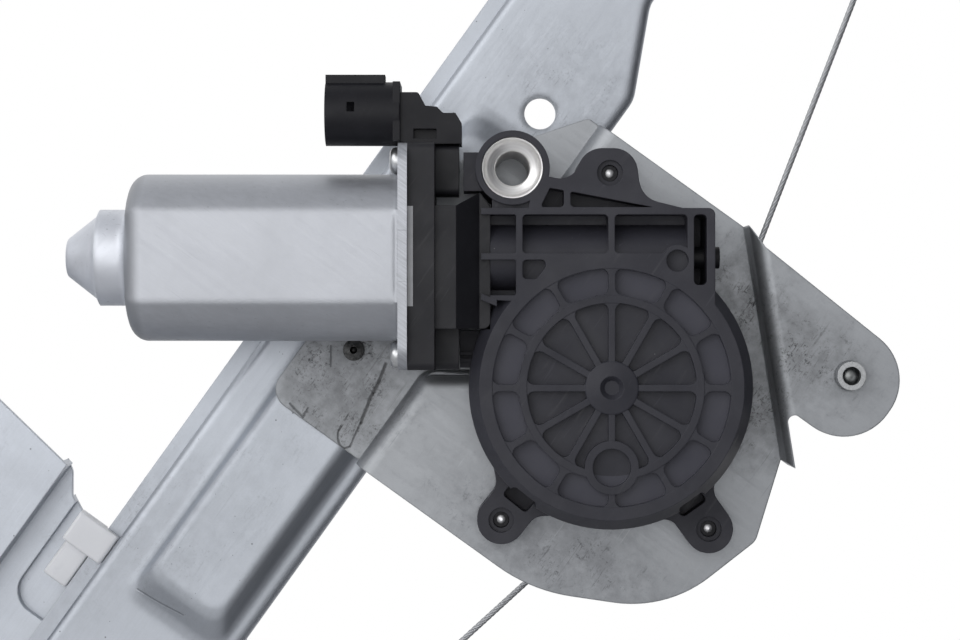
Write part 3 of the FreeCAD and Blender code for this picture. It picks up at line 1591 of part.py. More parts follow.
def build_drive():
    axle_end = housing_front - dim.disc_rib_depth - dim.housing_wall + 1.2
    half_drum = dim.drum_grooves * dim.groove_pitch / 2 + dim.drum_end_wall
    drum_back = cable_plane - half_drum
    drum_front = cable_plane + half_drum
    case_floor = drum_back - dim.drum_case_gap
    gap = dim.running_gap
    keep(
        cylinder(
            "drum_axle",
            GEAR,
            "Y",
            dim.axle_radius,
            -axle_end,
            axle_end - case_floor + dim.drum_case_wall,
        )
    )

    wheel_front = worm_depth + dim.wheel_face / 2
    wheel_back = worm_depth - dim.wheel_face / 2
    bore = dim.axle_radius + gap
    pitch_radius = dim.worm_module * dim.worm_teeth / 2
    tip_radius = pitch_radius + dim.worm_tip
    wheel = new_body("worm_wheel", GEAR)
    profile = [
        (bore, -wheel_front),
        (tip_radius, -wheel_front),
        (tip_radius, -wheel_back),
        (dim.wheel_rim_inner, -wheel_back),
        (dim.wheel_rim_inner, -wheel_front + dim.wheel_web),
        (dim.wheel_hub_radius, -wheel_front + dim.wheel_web),
        (dim.wheel_hub_radius, -wheel_back),
        (bore, -wheel_back),
    ]
    turn(wheel, "blank", TOP, "V_Axis", profile)
    deep = pitch_radius - dim.worm_root
    notch = [
        (-dim.tooth_gap_root / 2, deep),
        (dim.tooth_gap_root / 2, deep),
        (dim.tooth_gap_tip / 2, tip_radius + 0.2),
        (-dim.tooth_gap_tip / 2, tip_radius + 0.2),
    ]
    cut = pocket(wheel, "tooth_gap", FRONT, wheel_back - 1, dim.wheel_face + 2, notch)
    repeat_round(wheel, "teeth", cut, "Y_Axis", dim.worm_teeth)
    keep(wheel)

    damper = new_body("rubber_damper", GEAR)
    damper_front = wheel_front - dim.wheel_web - gap
    damper_back = damper_front - dim.damper_height
    pad(
        damper,
        "ring",
        FRONT,
        damper_back,
        dim.damper_height,
        Ring(0, 0, dim.damper_outer),
        Ring(0, 0, dim.damper_inner),
    )
    slot_half = dim.damper_slot / 2
    slot_in = dim.damper_inner + 2
    slot_out = dim.damper_outer - 2
    slot = box_outline(-slot_half, slot_in, slot_half, slot_out)
    slot_cut = pocket(damper, "dog_slot", FRONT, damper_back - 1, dim.damper_height, slot)
    repeat_round(damper, "dog_slots", slot_cut, "Y_Axis", dim.damper_slots)
    keep(damper)

    driver = new_body("driver", GEAR)
    driver_front = damper_back - gap
    driver_back = driver_front - dim.driver_thickness
    neck_end = drum_front
    key = dim.driver_key
    profile = [
        (bore, -driver_front),
        (dim.driver_radius, -driver_front),
        (dim.driver_radius, -driver_back),
        (dim.driver_neck, -driver_back),
        (dim.driver_neck, -neck_end),
        (bore, -neck_end),
    ]
    turn(driver, "flange_and_neck", TOP, "V_Axis", profile)
    dog_half = slot_half - 0.2
    dog = box_outline(-dog_half, slot_in + 0.2, dog_half, slot_out - 0.2)
    dog_pad = pad(driver, "dog", FRONT, driver_front - 0.5, dim.damper_height - 1, dog)
    repeat_round(driver, "dogs", dog_pad, "Y_Axis", dim.damper_slots)
    square = box_outline(-key / 2 - 2, -key / 2 - 2, key / 2 + 2, key / 2 + 2, 1.5)
    pad(
        driver,
        "square_key",
        FRONT,
        neck_end - dim.driver_key_length,
        dim.driver_key_length + 0.5,
        square,
        Ring(0, 0, bore),
    )
    keep(driver)

    drum = new_body("cable_drum", GEAR)
    groove_radius = dim.drum_pitch_radius - dim.cable_radius
    lip_radius = dim.drum_pitch_radius + dim.drum_lip
    outline = [
        (bore, -drum_front + 1.2),
        (lip_radius, -drum_front),
        (lip_radius, -drum_front + dim.drum_end_wall),
    ]
    first = drum_front - dim.drum_end_wall
    for number in range(int(dim.drum_grooves.value)):
        centre = first - (number + 0.5) * dim.groove_pitch
        outline.append((groove_radius + 0.36, -centre - dim.groove_pitch * 0.4))
        outline.append((groove_radius, -centre - dim.groove_pitch * 0.16))
        outline.append((groove_radius, -centre + dim.groove_pitch * 0.16))
        outline.append((groove_radius + 0.36, -centre + dim.groove_pitch * 0.4))
    outline.append((lip_radius, -drum_back - dim.drum_end_wall))
    outline.append((lip_radius, -drum_back))
    outline.append((bore, -drum_back))
    turn(drum, "grooved_drum", TOP, "V_Axis", outline)
    reach = key / 2 + 2 + 0.1
    key_hole = box_outline(-reach, -reach, reach, reach, 1.5)
    depth = dim.driver_key_length + 0.2
    pocket(drum, "key_hole", FRONT, neck_end - depth, depth + 2, key_hole)
    wide = dim.drum_pocket_width / 2
    light = box_outline(-wide, dim.drum_pocket_inner, wide, dim.drum_pocket_outer)
    light_cut = pocket(drum, "light_pocket", FRONT, drum_back - 1, 1 + dim.drum_pocket_depth, light)
    repeat_round(drum, "light_pockets", light_cut, "Y_Axis", dim.drum_pockets)
    keep(drum)

    turns = []
    rope = dim.cable_radius - 0.02
    for number in range(int(dim.drum_grooves.value)):
        centre = first - (number + 0.5) * dim.groove_pitch
        loop = new_body(f"cable_turn_{number + 1}", GEAR)
        section = [
            (dim.drum_pitch_radius - rope * 0.98, -centre - rope * 0.25),
            (dim.drum_pitch_radius - rope * 0.98, -centre + rope * 0.25),
            (dim.drum_pitch_radius, -centre + rope),
            (dim.drum_pitch_radius + rope, -centre + rope * 0.3),
            (dim.drum_pitch_radius + rope, -centre - rope * 0.3),
            (dim.drum_pitch_radius, -centre - rope),
        ]
        turn(loop, "rope", TOP, "V_Axis", section)
        turns.append(loop)
    group("drum_cable_turns", turns)

    case = new_body("drum_housing", GEAR)
    outer = dim.drum_case_radius
    wall = dim.drum_case_wall
    foot = plate_back - dim.drum_foot_height
    profile = [
        (dim.axle_radius, -case_floor),
        (dim.axle_radius, -case_floor + wall),
        (outer - 1, -case_floor + wall, 1.5),
        (outer, -case_floor - 2),
        (outer, -plate_back),
        (outer - wall, -plate_back),
        (outer - wall, -case_floor),
    ]
    turn(case, "cup", TOP, "V_Axis", profile)
    for name, (across, up) in LUGS.items():
        pad(case, f"{name}_foot", FRONT, foot, dim.drum_foot_height, Ring(across, up, dim.lug_radius))
        length = root(across * across + up * up)
        side_x = up / length * dim.lug_radius * 0.8
        side_z = across / length * dim.lug_radius * 0.8
        inner = (outer - wall + 0.2) / length
        arm = [
            (across - side_x, up + side_z),
            (across + side_x, up - side_z),
            (across * inner + 1.3 * side_x, up * inner - 1.3 * side_z),
            (across * inner - 1.3 * side_x, up * inner + 1.3 * side_z),
        ]
        pad(case, f"{name}_foot_arm", FRONT, foot, dim.drum_foot_height, arm)
        hole = Ring(across, up, dim.screw_radius + dim.part_gap / 2)
        pocket(case, f"{name}_foot_hole", FRONT, foot - 1, dim.drum_foot_height + 2, hole)
    for name, height in (("upper", dim.top_pulley_up), ("lower", -dim.bottom_pulley_down)):
        angle = cable_angle(height) - dim.motor_tilt
        sense = 1 if height.value > 0 else -1
        half_slot = dim.cable_radius * 2
        near_side = dim.drum_pitch_radius - half_slot
        far_side = dim.drum_pitch_radius + half_slot
        length = dim.drum_case_radius
        corners = []
        for along, across in ((2, near_side), (length, near_side), (length, far_side), (2, far_side)):
            along = sense * as_size(along)
            x = across * cosine(angle) - along * sine(angle)
            z = across * sine(angle) + along * cosine(angle)
            corners.append((x, z))
        pocket(case, f"{name}_cable_outlet", FRONT, cable_plane - half_slot, 2 * half_slot, corners)
    keep(case)
    return foot


def build_housing_screws(foot):
    screws = []
    for name, (across, up) in LUGS.items():
        face = housing_front if name == "top" else plate_front + dim.lug_height
        tip = face - 2 * dim.lug_sink_depth
        screw = new_body(f"housing_screw_{name}", GEAR.moved(across, 0, up))
        head = foot - dim.screw_head_height
        profile = [
            (0, -head),
            (dim.screw_head_radius, -head),
            (dim.screw_head_radius, -foot),
            (dim.screw_radius, -foot),
            (dim.screw_radius, -tip),
            (0, -tip),
        ]
        turn(screw, "screw", TOP, "V_Axis", profile)
        recess = Ring(0, 0, dim.screw_radius)
        pocket(screw, "driver_recess", FRONT, head - 1, 1 + dim.screw_head_height * 0.6, recess)
        screws.append(screw)
    group("housing_screws", screws)


def cable_angle(height):
    """How far above the gear axis, in degrees, a rope touches the right side of drum and pulley."""
    sense = 1 if height.value > 0 else -1
    rise = (height + dim.gear_down) * sense
    across = dim.gear_across + dim.pulley_across
    span = root(rise * rise + across * across)
    lean = arc_tangent(across / rise)
    contact = arc_cosine((dim.drum_pitch_radius - dim.pulley_pitch_radius) / span)
    return (lean + 90 - contact) * sense


def cable_run(label, height, meet):
    """One wire rope: from the drum, round a pulley and along the rail to the carrier."""
    sense = 1 if height.value > 0 else -1
    angle = math.radians(cable_angle(height).value)
    side = Vector(math.cos(angle), 0, math.sin(angle))
    lead = Vector(-math.sin(angle), 0, math.cos(angle)) * sense
    drum = Vector(dim.gear_across.value, dim.cable_depth.value, -dim.gear_down.value)
    pulley = Vector(-dim.pulley_across.value, dim.cable_depth.value, height.value)
    wheel = dim.pulley_pitch_radius.value
    radius = dim.cable_radius.value
    pitch_radius = dim.drum_pitch_radius.value
    over_rope = pitch_radius + 2 * radius + dim.running_gap.value
    freed = math.sqrt(over_rope ** 2 - pitch_radius ** 2)
    start = drum + side * pitch_radius + lead * freed
    touch = pulley + side * wheel
    left = pulley - Vector(wheel, 0, 0)
    crown = pulley + (lead + Vector(0, 0, sense)).normalize() * wheel
    last = Vector(left.x, left.y, meet.value)
    wire = Part.Wire(
        [
            Part.makeLine(start, touch),
            Part.Arc(touch, crown, left).toShape(),
            Part.makeLine(left, last),
        ]
    )
    section = Part.Wire([Part.makeCircle(radius, start, lead)])
    tube = wire.makePipeShell([section], True, False)
    cable = doc.addObject("Part::Feature", label)
    cable.Label = label
    cable.Shape = tube
    cable.Placement = Placement()
    expected = wire.Length * math.pi * radius ** 2
    print(label, "length", round(wire.Length, 1), "volume ratio", round(tube.Volume / expected, 5))
    keep(cable)


def build_cables():
    gap = dim.part_gap / 2
    cable_run("upper_cable", dim.top_pulley_up, -dim.carrier_middle_down + gap)
    cable_run("lower_cable", -dim.bottom_pulley_down, -dim.carrier_middle_down - gap)


def build_pulleys():
    for label, height in (
        ("top", dim.top_pulley_up),
        ("bottom", -dim.bottom_pulley_down),
    ):
        depth = cable_plane
        centre = Frame(-dim.pulley_across, 0, height)
        half = dim.pulley_width / 2
        bore = dim.pulley_axle_radius + dim.running_gap
        bed = dim.pulley_pitch_radius - dim.cable_radius - 0.1
        lip = dim.pulley_pitch_radius + dim.pulley_lip
        pulley = new_body(f"{label}_pulley", centre)
        profile = [
            (bore, -depth - half),
            (lip, -depth - half),
            (bed + 0.2, -depth - 1.1),
            (bed, -depth - 0.5),
            (bed, -depth + 0.5),
            (bed + 0.2, -depth + 1.1),
            (lip, -depth + half),
            (bore, -depth + half),
        ]
        turn(pulley, "grooved_wheel", TOP, "V_Axis", profile)
        keep(pulley)
        axle = new_body(f"{label}_pulley_axle", centre)
        gap = dim.part_gap / 2
        back = depth - half - gap
        hole = dim.pulley_axle_radius
        collar = dim.pulley_axle_radius + 1.5
        profile = [
            (0, -dim.rivet_head),
            (0, -back + dim.pulley_head_height),
            (dim.pulley_axle_head, -back + dim.pulley_head_height),
            (dim.pulley_axle_head, -back),
            (hole, -back),
            (hole, -depth - half - gap),
            (collar, -depth - half - gap),
            (collar, sheet_metal),
            (hole, sheet_metal),
            (hole, 0),
            (collar, 0),
            (collar, -dim.rivet_head),
        ]
        turn(axle, "stepped_pin", TOP, "V_Axis", profile)
        keep(axle)


def build_carrier():
    seat_depth = cable_plane - dim.cable_radius - dim.carrier_clearance
    deep = seat_depth - dim.carrier_deep_step
    front = seat_depth + dim.carrier_front_step
    middle_z = -dim.carrier_middle_down
    top = middle_z + dim.carrier_half_height
    bottom = middle_z - dim.carrier_half_height
    right = dim.carrier_right
    seat_x = -dim.carrier_seat_line
    bend_x = -dim.carrier_bend_line
    left = -dim.carrier_left
    corner = dim.carrier_corner
    rise = dim.carrier_shoulder
    soft = corner / 2
    plate = new_body("carrier_plate", HOME)
    backing = [
        (bend_x, bottom),
        (right, bottom, corner),
        (right, top, corner),
        (seat_x + soft, top, soft),
        (seat_x - sheet_metal, top + rise / 4, soft),
        (seat_x - corner + 1, top + rise * 0.8, soft),
        (bend_x, top + rise),
    ]
    pad(plate, "backing", FRONT, deep - sheet_metal, seat_depth - deep + sheet_metal, backing)
    seat = dim.carrier_seat_height
    step = dim.carrier_deep_step
    seats = [
        [
            (seat_x, top + rise),
            (seat_x, top - seat, corner),
            (right + 2, top - seat),
            (right + 2, top + rise),
        ],
        [
            (right + 2, bottom - rise),
            (right + 2, bottom + seat),
            (seat_x, bottom + seat, corner),
            (seat_x, bottom - rise),
        ],
    ]
    for number, outline in enumerate(seats, start=1):
        pocket(plate, f"slider_seat_{number}", FRONT, deep, step + 1, outline)
    behind = deep - 2 * sheet_metal
    hollow = step + sheet_metal
    thick = 2 * sheet_metal
    rear = box_outline(bend_x + thick, bottom + seat + thick, right + 2, top - seat - thick)
    pocket(plate, "backing_hollow", FRONT, behind, hollow, rear)
    rim = box_outline(bend_x - 1, bottom - 2, seat_x - sheet_metal, top + 2 * rise)
    pocket(plate, "rim_hollow", FRONT, behind, hollow, rim)
    wing = [
        (left, -dim.wing_bottom, corner),
        (bend_x + sheet_metal, bottom),
        (bend_x + sheet_metal, top + rise - 0.4),
        (left, top + rise - 0.4 + dim.wing_rise, corner),
    ]
    back = seat_depth - sheet_metal
    pad(plate, "wing_block", FRONT, back, front - back, wing)
    beyond = dim.carrier_half_height
    wing_hollow = box_outline(left - 1, -dim.wing_bottom - beyond, bend_x, top + 2 * beyond)
    pocket(plate, "wing_back", FRONT, back - 1, front - sheet_metal - back + 1, wing_hollow)
    holes = []
    middle_x = -dim.clamp_left + dim.clamp_width / 2
    for side in (-1, 1):
        x = middle_x + side * dim.clamp_screw_spacing / 2
        holes.append(Ring(x, -dim.clamp_screw_down, dim.clamp_screw_radius))
    pocket(plate, "clamp_holes", FRONT, back - 1, front - back + 2, *holes)
    keep(plate)

    gap = dim.slide_gap
    lip_front = -dim.rail_depth + sheet_metal
    lip_back = -dim.rail_depth
    lip_left = -dim.rail_left
    wall = lip_left + dim.lip_width
    leg = dim.guide_leg
    outer = lip_left - dim.slider_outer
    foot_left = outer + dim.slider_inset
    chamfer = dim.slider_inset
    sliders = []
    inset = dim.slider_inset
    for number, (start, jaw_start) in enumerate(
        (
            (top - inset - dim.slider_length, top + leg - dim.jaw_length),
            (bottom + inset, bottom + inset),
        ),
        start=1,
    ):
        slider = new_body(f"slider_{number}", HOME)
        foot = [
            (foot_left, -deep),
            (wall + leg, -deep),
            (wall + leg, -lip_back + gap),
            (lip_left - gap, -lip_back + gap),
            (lip_left - gap, -lip_front),
            (foot_left, -lip_front, chamfer),
        ]
        pad(slider, "foot", TOP, start, dim.slider_length, foot)
        jaw = [
            (outer, -lip_front + 2 * chamfer),
            (lip_left - gap, -lip_front + 2 * chamfer),
            (lip_left - gap, -lip_front - gap),
            (wall - gap, -lip_front - gap),
            (wall - gap, -lip_front - dim.slider_jaw, chamfer),
            (outer, -lip_front - dim.slider_jaw, chamfer),
        ]
        pad(slider, "jaw", TOP, jaw_start, dim.jaw_length, jaw)
        sliders.append(slider)
    group("slider_clips", sliders)

    # Anti-twist guide: a foot behind the lip and a leg inside the rail's left wall
    guide = new_body("rear_guide", HOME)
    inner = wall + sheet_metal + gap
    outline = [
        (lip_left, -seat_depth),
        (inner + leg, -seat_depth),
        (inner + leg, dim.rail_depth - leg, dim.slide_gap),
        (inner, dim.rail_depth - leg),
        (inner, dim.rail_depth + gap),
        (lip_left, dim.rail_depth + gap),
    ]
    height = middle_z - dim.guide_length / 2
    pad(guide, "channel", TOP, height, dim.guide_length, outline)
    keep(guide)
    return seat_depth, front, middle_z


def build_cable_block(seat_depth, middle_z):
    block = new_body("cable_block", HOME)
    line_x = -dim.pulley_across - dim.pulley_pitch_radius
    half = dim.block_width / 2
    reach = dim.ferrule_gap / 2 + dim.ferrule_length + 2
    crest = -seat_depth - (-seat_depth - dim.rail_depth) - 0.6
    outline = [
        (line_x - half, -seat_depth),
        (line_x + half, -seat_depth),
        (line_x + half, crest, 1),
        (line_x - half, crest, 1),
    ]
    pad(block, "block", TOP, middle_z - reach, 2 * reach, outline)
    bore = Ring(line_x, -cable_plane, dim.cable_radius + dim.part_gap)
    pocket(block, "bore", TOP, middle_z - reach - 1, 2 * reach + 2, bore)
    places = (
        ("upper", middle_z + dim.ferrule_gap / 2),
        ("lower", middle_z - dim.ferrule_gap / 2 - dim.ferrule_length),
    )
    ferrules = []
    for name, start in places:
        outer = Ring(line_x, -cable_plane, dim.ferrule_radius)
        inner = Ring(line_x, -cable_plane, dim.cable_radius + dim.running_gap)
        pocket(block, f"{name}_seat", TOP, start, dim.ferrule_length, outer)
        ferrule = new_body(f"{name}_ferrule", HOME)
        pad(ferrule, "barrel", TOP, start, dim.ferrule_length, outer, inner)
        ferrules.append(ferrule)
    keep(block)
    group("cable_ferrules", ferrules)


def build_clamp(wing_front):
    left = -dim.clamp_left
    right = left + dim.clamp_width
    bottom = -dim.clamp_bottom
    top = -dim.clamp_top
    base = -(wing_front - sheet_metal)
    slot_front = dim.glass_depth - dim.glass_gap / 2 - dim.pad_thickness
    slot_back = dim.glass_depth + dim.glass_gap / 2 + dim.pad_thickness
    jaw = dim.clamp_jaw
    floor = -dim.glass_edge - dim.pad_thickness
    clamp = new_body("glass_clamp", HOME)
    profile = [
        (base, bottom),
        (slot_back, bottom, jaw),
        (slot_back + jaw, floor, jaw),
        (slot_back + jaw, top, jaw / 3),
        (slot_back, top - jaw),
        (slot_back, floor),
        (slot_front, floor),
        (slot_front, top - jaw),
        (slot_front - jaw, top, jaw / 3),
        (base, top),
    ]
    pad(clamp, "jaws", SIDE, left, dim.clamp_width, profile)
    middle_x = left + dim.clamp_width / 2
    rib = dim.clamp_rib
    low = floor + rib
    hollows = [
        box_outline(left + rib, base + rib, middle_x - rib / 2, slot_front - rib, rib / 2),
        box_outline(middle_x + rib / 2, base + rib, right - rib, slot_front - rib, rib / 2),
    ]
    pocket(clamp, "hollows", TOP, low, top - low + 1, *hollows)
    spots = [middle_x - dim.clamp_screw_spacing / 2, middle_x + dim.clamp_screw_spacing / 2]
    tip = base + dim.clamp_screw_length
    holes = [Ring(x, -dim.clamp_screw_down, dim.clamp_screw_radius) for x in spots]
    pocket(clamp, "screw_holes", FRONT, -tip, dim.clamp_screw_length + 1, *holes)
    keep(clamp)

    pads = []
    for name, depth in (("front", slot_front), ("rear", slot_back - dim.pad_thickness)):
        rubber = new_body(f"{name}_pad", HOME)
        outline = box_outline(left, -dim.glass_edge, right, top - jaw, 1)
        pad(rubber, "sheet", FRONT, -depth - dim.pad_thickness, dim.pad_thickness, outline)
        pads.append(rubber)
    rest = new_body("edge_pad", HOME)
    sole = box_outline(left, floor, right, floor + dim.pad_thickness)
    pad(rest, "sheet", FRONT, -slot_back, slot_back - slot_front, sole)
    pads.append(rest)
    group("clamp_pads", pads)

    screws = []
    for number, x in enumerate(spots, start=1):
        screw = new_body(f"clamp_screw_{number}", Frame(x, 0, -dim.clamp_screw_down))
        head = dim.clamp_screw_head
        wide = dim.clamp_screw_radius * 1.8
        profile = [
            (0, -wing_front - head),
            (wide, -wing_front - head),
            (wide, -wing_front),
            (dim.clamp_screw_radius, -wing_front),
            (dim.clamp_screw_radius, tip),
            (0, tip),
        ]
        turn(screw, "screw", TOP, "V_Axis", profile)
        screws.append(screw)
    group("clamp_screws", screws)


def build_stops(middle_z):
    line_x = -dim.pulley_across - dim.pulley_pitch_radius
    reach = dim.ferrule_gap / 2 + dim.ferrule_length + 2 + dim.part_gap
    thick = dim.stop_thickness
    stops = []
    for name, start in (
        ("top", middle_z + reach + dim.travel_up),
        ("bottom", middle_z - reach - dim.travel_down - thick),
    ):
        stop = new_body(f"{name}_stop", HOME)
        half = dim.block_width / 2
        outline = [
            (line_x - half, sheet_metal),
            (line_x + half, sheet_metal),
            (line_x + half, dim.rail_depth + 0.2, 1),
            (line_x - half, dim.rail_depth + 0.2, 1),
        ]
        pad(stop, "bumper", TOP, start, thick, outline)
        stops.append(stop)
    group("end_stops", stops)


def main():
    build_rail()
    build_motor_plate()
    build_plate_fasteners()
    build_gear_housing()
    build_bush()
    block_left, block_right = build_motor()
    build_connector(block_left, block_right)
    build_armature()
    build_motor_inside(block_right)
    foot = build_drive()
    build_housing_screws(foot)
    build_cables()
    build_pulleys()
    seat_depth, front, middle_z = build_carrier()
    build_cable_block(seat_depth, middle_z)
    build_clamp(front)
    build_stops(middle_z)
    doc.recompute()
    problems = []
    for item in doc.Objects:
        if "Invalid" in item.State or "Error" in item.State:
            problems.append(f"{item.Name}: {item.State}")
    for label, item in subparts.items():
        shape = item.Shape
        if shape.isNull() or not shape.isValid() or not shape.Solids:
            problems.append(f"{label}: no valid shape")
    if problems:
        raise SystemExit("\n".join(problems))
    os.makedirs("parts", exist_ok=True)
    for label, item in subparts.items():
        item.Shape.exportStep(f"parts/{label}.step")
        print(label, len(item.Shape.Solids), "solids", round(item.Shape.Volume, 1), "mm3")


main()
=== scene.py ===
import math

import bpy
from mathutils import Matrix, Vector


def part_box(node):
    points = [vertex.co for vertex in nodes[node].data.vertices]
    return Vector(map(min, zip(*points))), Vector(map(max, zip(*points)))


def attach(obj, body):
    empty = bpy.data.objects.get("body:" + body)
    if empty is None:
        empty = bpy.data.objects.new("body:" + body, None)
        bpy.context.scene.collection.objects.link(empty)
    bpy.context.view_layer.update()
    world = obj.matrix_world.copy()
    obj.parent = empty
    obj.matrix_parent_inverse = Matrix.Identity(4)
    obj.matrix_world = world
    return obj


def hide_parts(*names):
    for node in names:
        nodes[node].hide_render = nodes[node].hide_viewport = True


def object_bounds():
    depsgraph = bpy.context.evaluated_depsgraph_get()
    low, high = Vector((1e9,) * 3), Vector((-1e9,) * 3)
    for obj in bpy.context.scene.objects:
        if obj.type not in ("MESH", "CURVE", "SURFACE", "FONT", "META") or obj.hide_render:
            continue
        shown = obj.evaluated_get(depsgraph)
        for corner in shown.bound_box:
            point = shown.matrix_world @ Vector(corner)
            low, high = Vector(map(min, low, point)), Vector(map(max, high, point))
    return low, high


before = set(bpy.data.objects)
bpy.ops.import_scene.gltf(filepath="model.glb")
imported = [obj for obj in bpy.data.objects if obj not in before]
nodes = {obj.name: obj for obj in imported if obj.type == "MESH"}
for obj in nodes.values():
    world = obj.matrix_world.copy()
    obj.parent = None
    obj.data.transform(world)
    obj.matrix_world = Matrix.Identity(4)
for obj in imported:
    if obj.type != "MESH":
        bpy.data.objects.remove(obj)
cad_box = [list(corner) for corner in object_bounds()]
MM = 0.001

# The photograph's directions in the object's frame
RAIL_TURN = math.radians(54.3)
PHOTO_RIGHT = Vector((math.sin(RAIL_TURN), 0, math.cos(RAIL_TURN)))
PHOTO_UP = Vector((-math.cos(RAIL_TURN), 0, math.sin(RAIL_TURN)))
TOWARDS_CAMERA = Vector((0, -1, 0))
CAMERA_PLACE = Vector((17.2, -576.0, -48.6)) * MM
LENS = 90.0
SENSOR = 36.0
CLIP_START = 0.01
VIEW_CENTRE = Vector((17.2, 0, -48.6)) * MM
# Turns a pattern so that its X axis runs along the motor
ALONG_MOTOR = (0, RAIL_TURN - math.pi / 2, 0)


def middle(name):
    """The middle of a node's box in metres."""
    low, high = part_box(name)
    return (Vector(low) + Vector(high)) / 2


# The disc's middle, and the screw lugs in millimetres to the right and up from it
GEAR_MIDDLE = middle("worm_wheel")
LUGS = ((-0.4, 48.5), (-24.8, -31.2), (23.5, -33.3))


def gear_point(right, up):
    """A point beside the disc's middle in metres, with no depth."""
    place = GEAR_MIDDLE + (PHOTO_RIGHT * right + PHOTO_UP * up) * MM
    return Vector((place.x, 0, place.z))


def in_view(right, up, near):
    """A point given from the middle of the photograph's view along its own directions, in metres."""
    return VIEW_CENTRE + PHOTO_RIGHT * right + PHOTO_UP * up + TOWARDS_CAMERA * near


# Sockets of a mix node by its kind of data: first and second input, and output
MIX_SOCKETS = {"RGBA": (6, 7, 2), "VECTOR": (4, 5, 1)}


class Tree:
    """A tree of shader nodes, built from small steps whose values are numbers or sockets."""

    def __init__(self, tree):
        self.tree = tree

    def node(self, kind, **values):
        made = self.tree.nodes.new(kind)
        for key, value in values.items():
            setattr(made, key, value)
        return made

    def feed(self, socket, value):
        if isinstance(value, bpy.types.NodeSocket):
            self.tree.links.new(value, socket)
        else:
            socket.default_value = value

    def math(self, operation, *values, clamp=False):
        made = self.node("ShaderNodeMath", operation=operation, use_clamp=clamp)
        for socket, value in zip(made.inputs, values):
            self.feed(socket, value)
        return made.outputs["Value"]

    def times(self, first, second, clamp=False):
        return self.math("MULTIPLY", first, second, clamp=clamp)

    def vector(self, operation, *values, output="Vector"):
        made = self.node("ShaderNodeVectorMath", operation=operation)
        for socket, value in zip(made.inputs, values):
            self.feed(socket, value)
        return made.outputs[output]

    def mix(self, factor, first, second, blend="MIX", kind="RGBA"):
        """The first where the factor is 0 and the second where it is 1."""
        made = self.node("ShaderNodeMix", data_type=kind, blend_type=blend, clamp_factor=True)
        first_in, second_in, out = MIX_SOCKETS[kind]
        self.feed(made.inputs[0], factor)
        self.feed(made.inputs[first_in], colour(first))
        self.feed(made.inputs[second_in], colour(second))
        return made.outputs[out]

    def between(self, value, low, high, interpolation="LINEAR"):
        """0 to 1 as a value runs from low to high."""
        made = self.node("ShaderNodeMapRange", interpolation_type=interpolation)
        self.feed(made.inputs["Value"], value)
        made.inputs["From Min"].default_value = low
        made.inputs["From Max"].default_value = high
        return made.outputs["Result"]


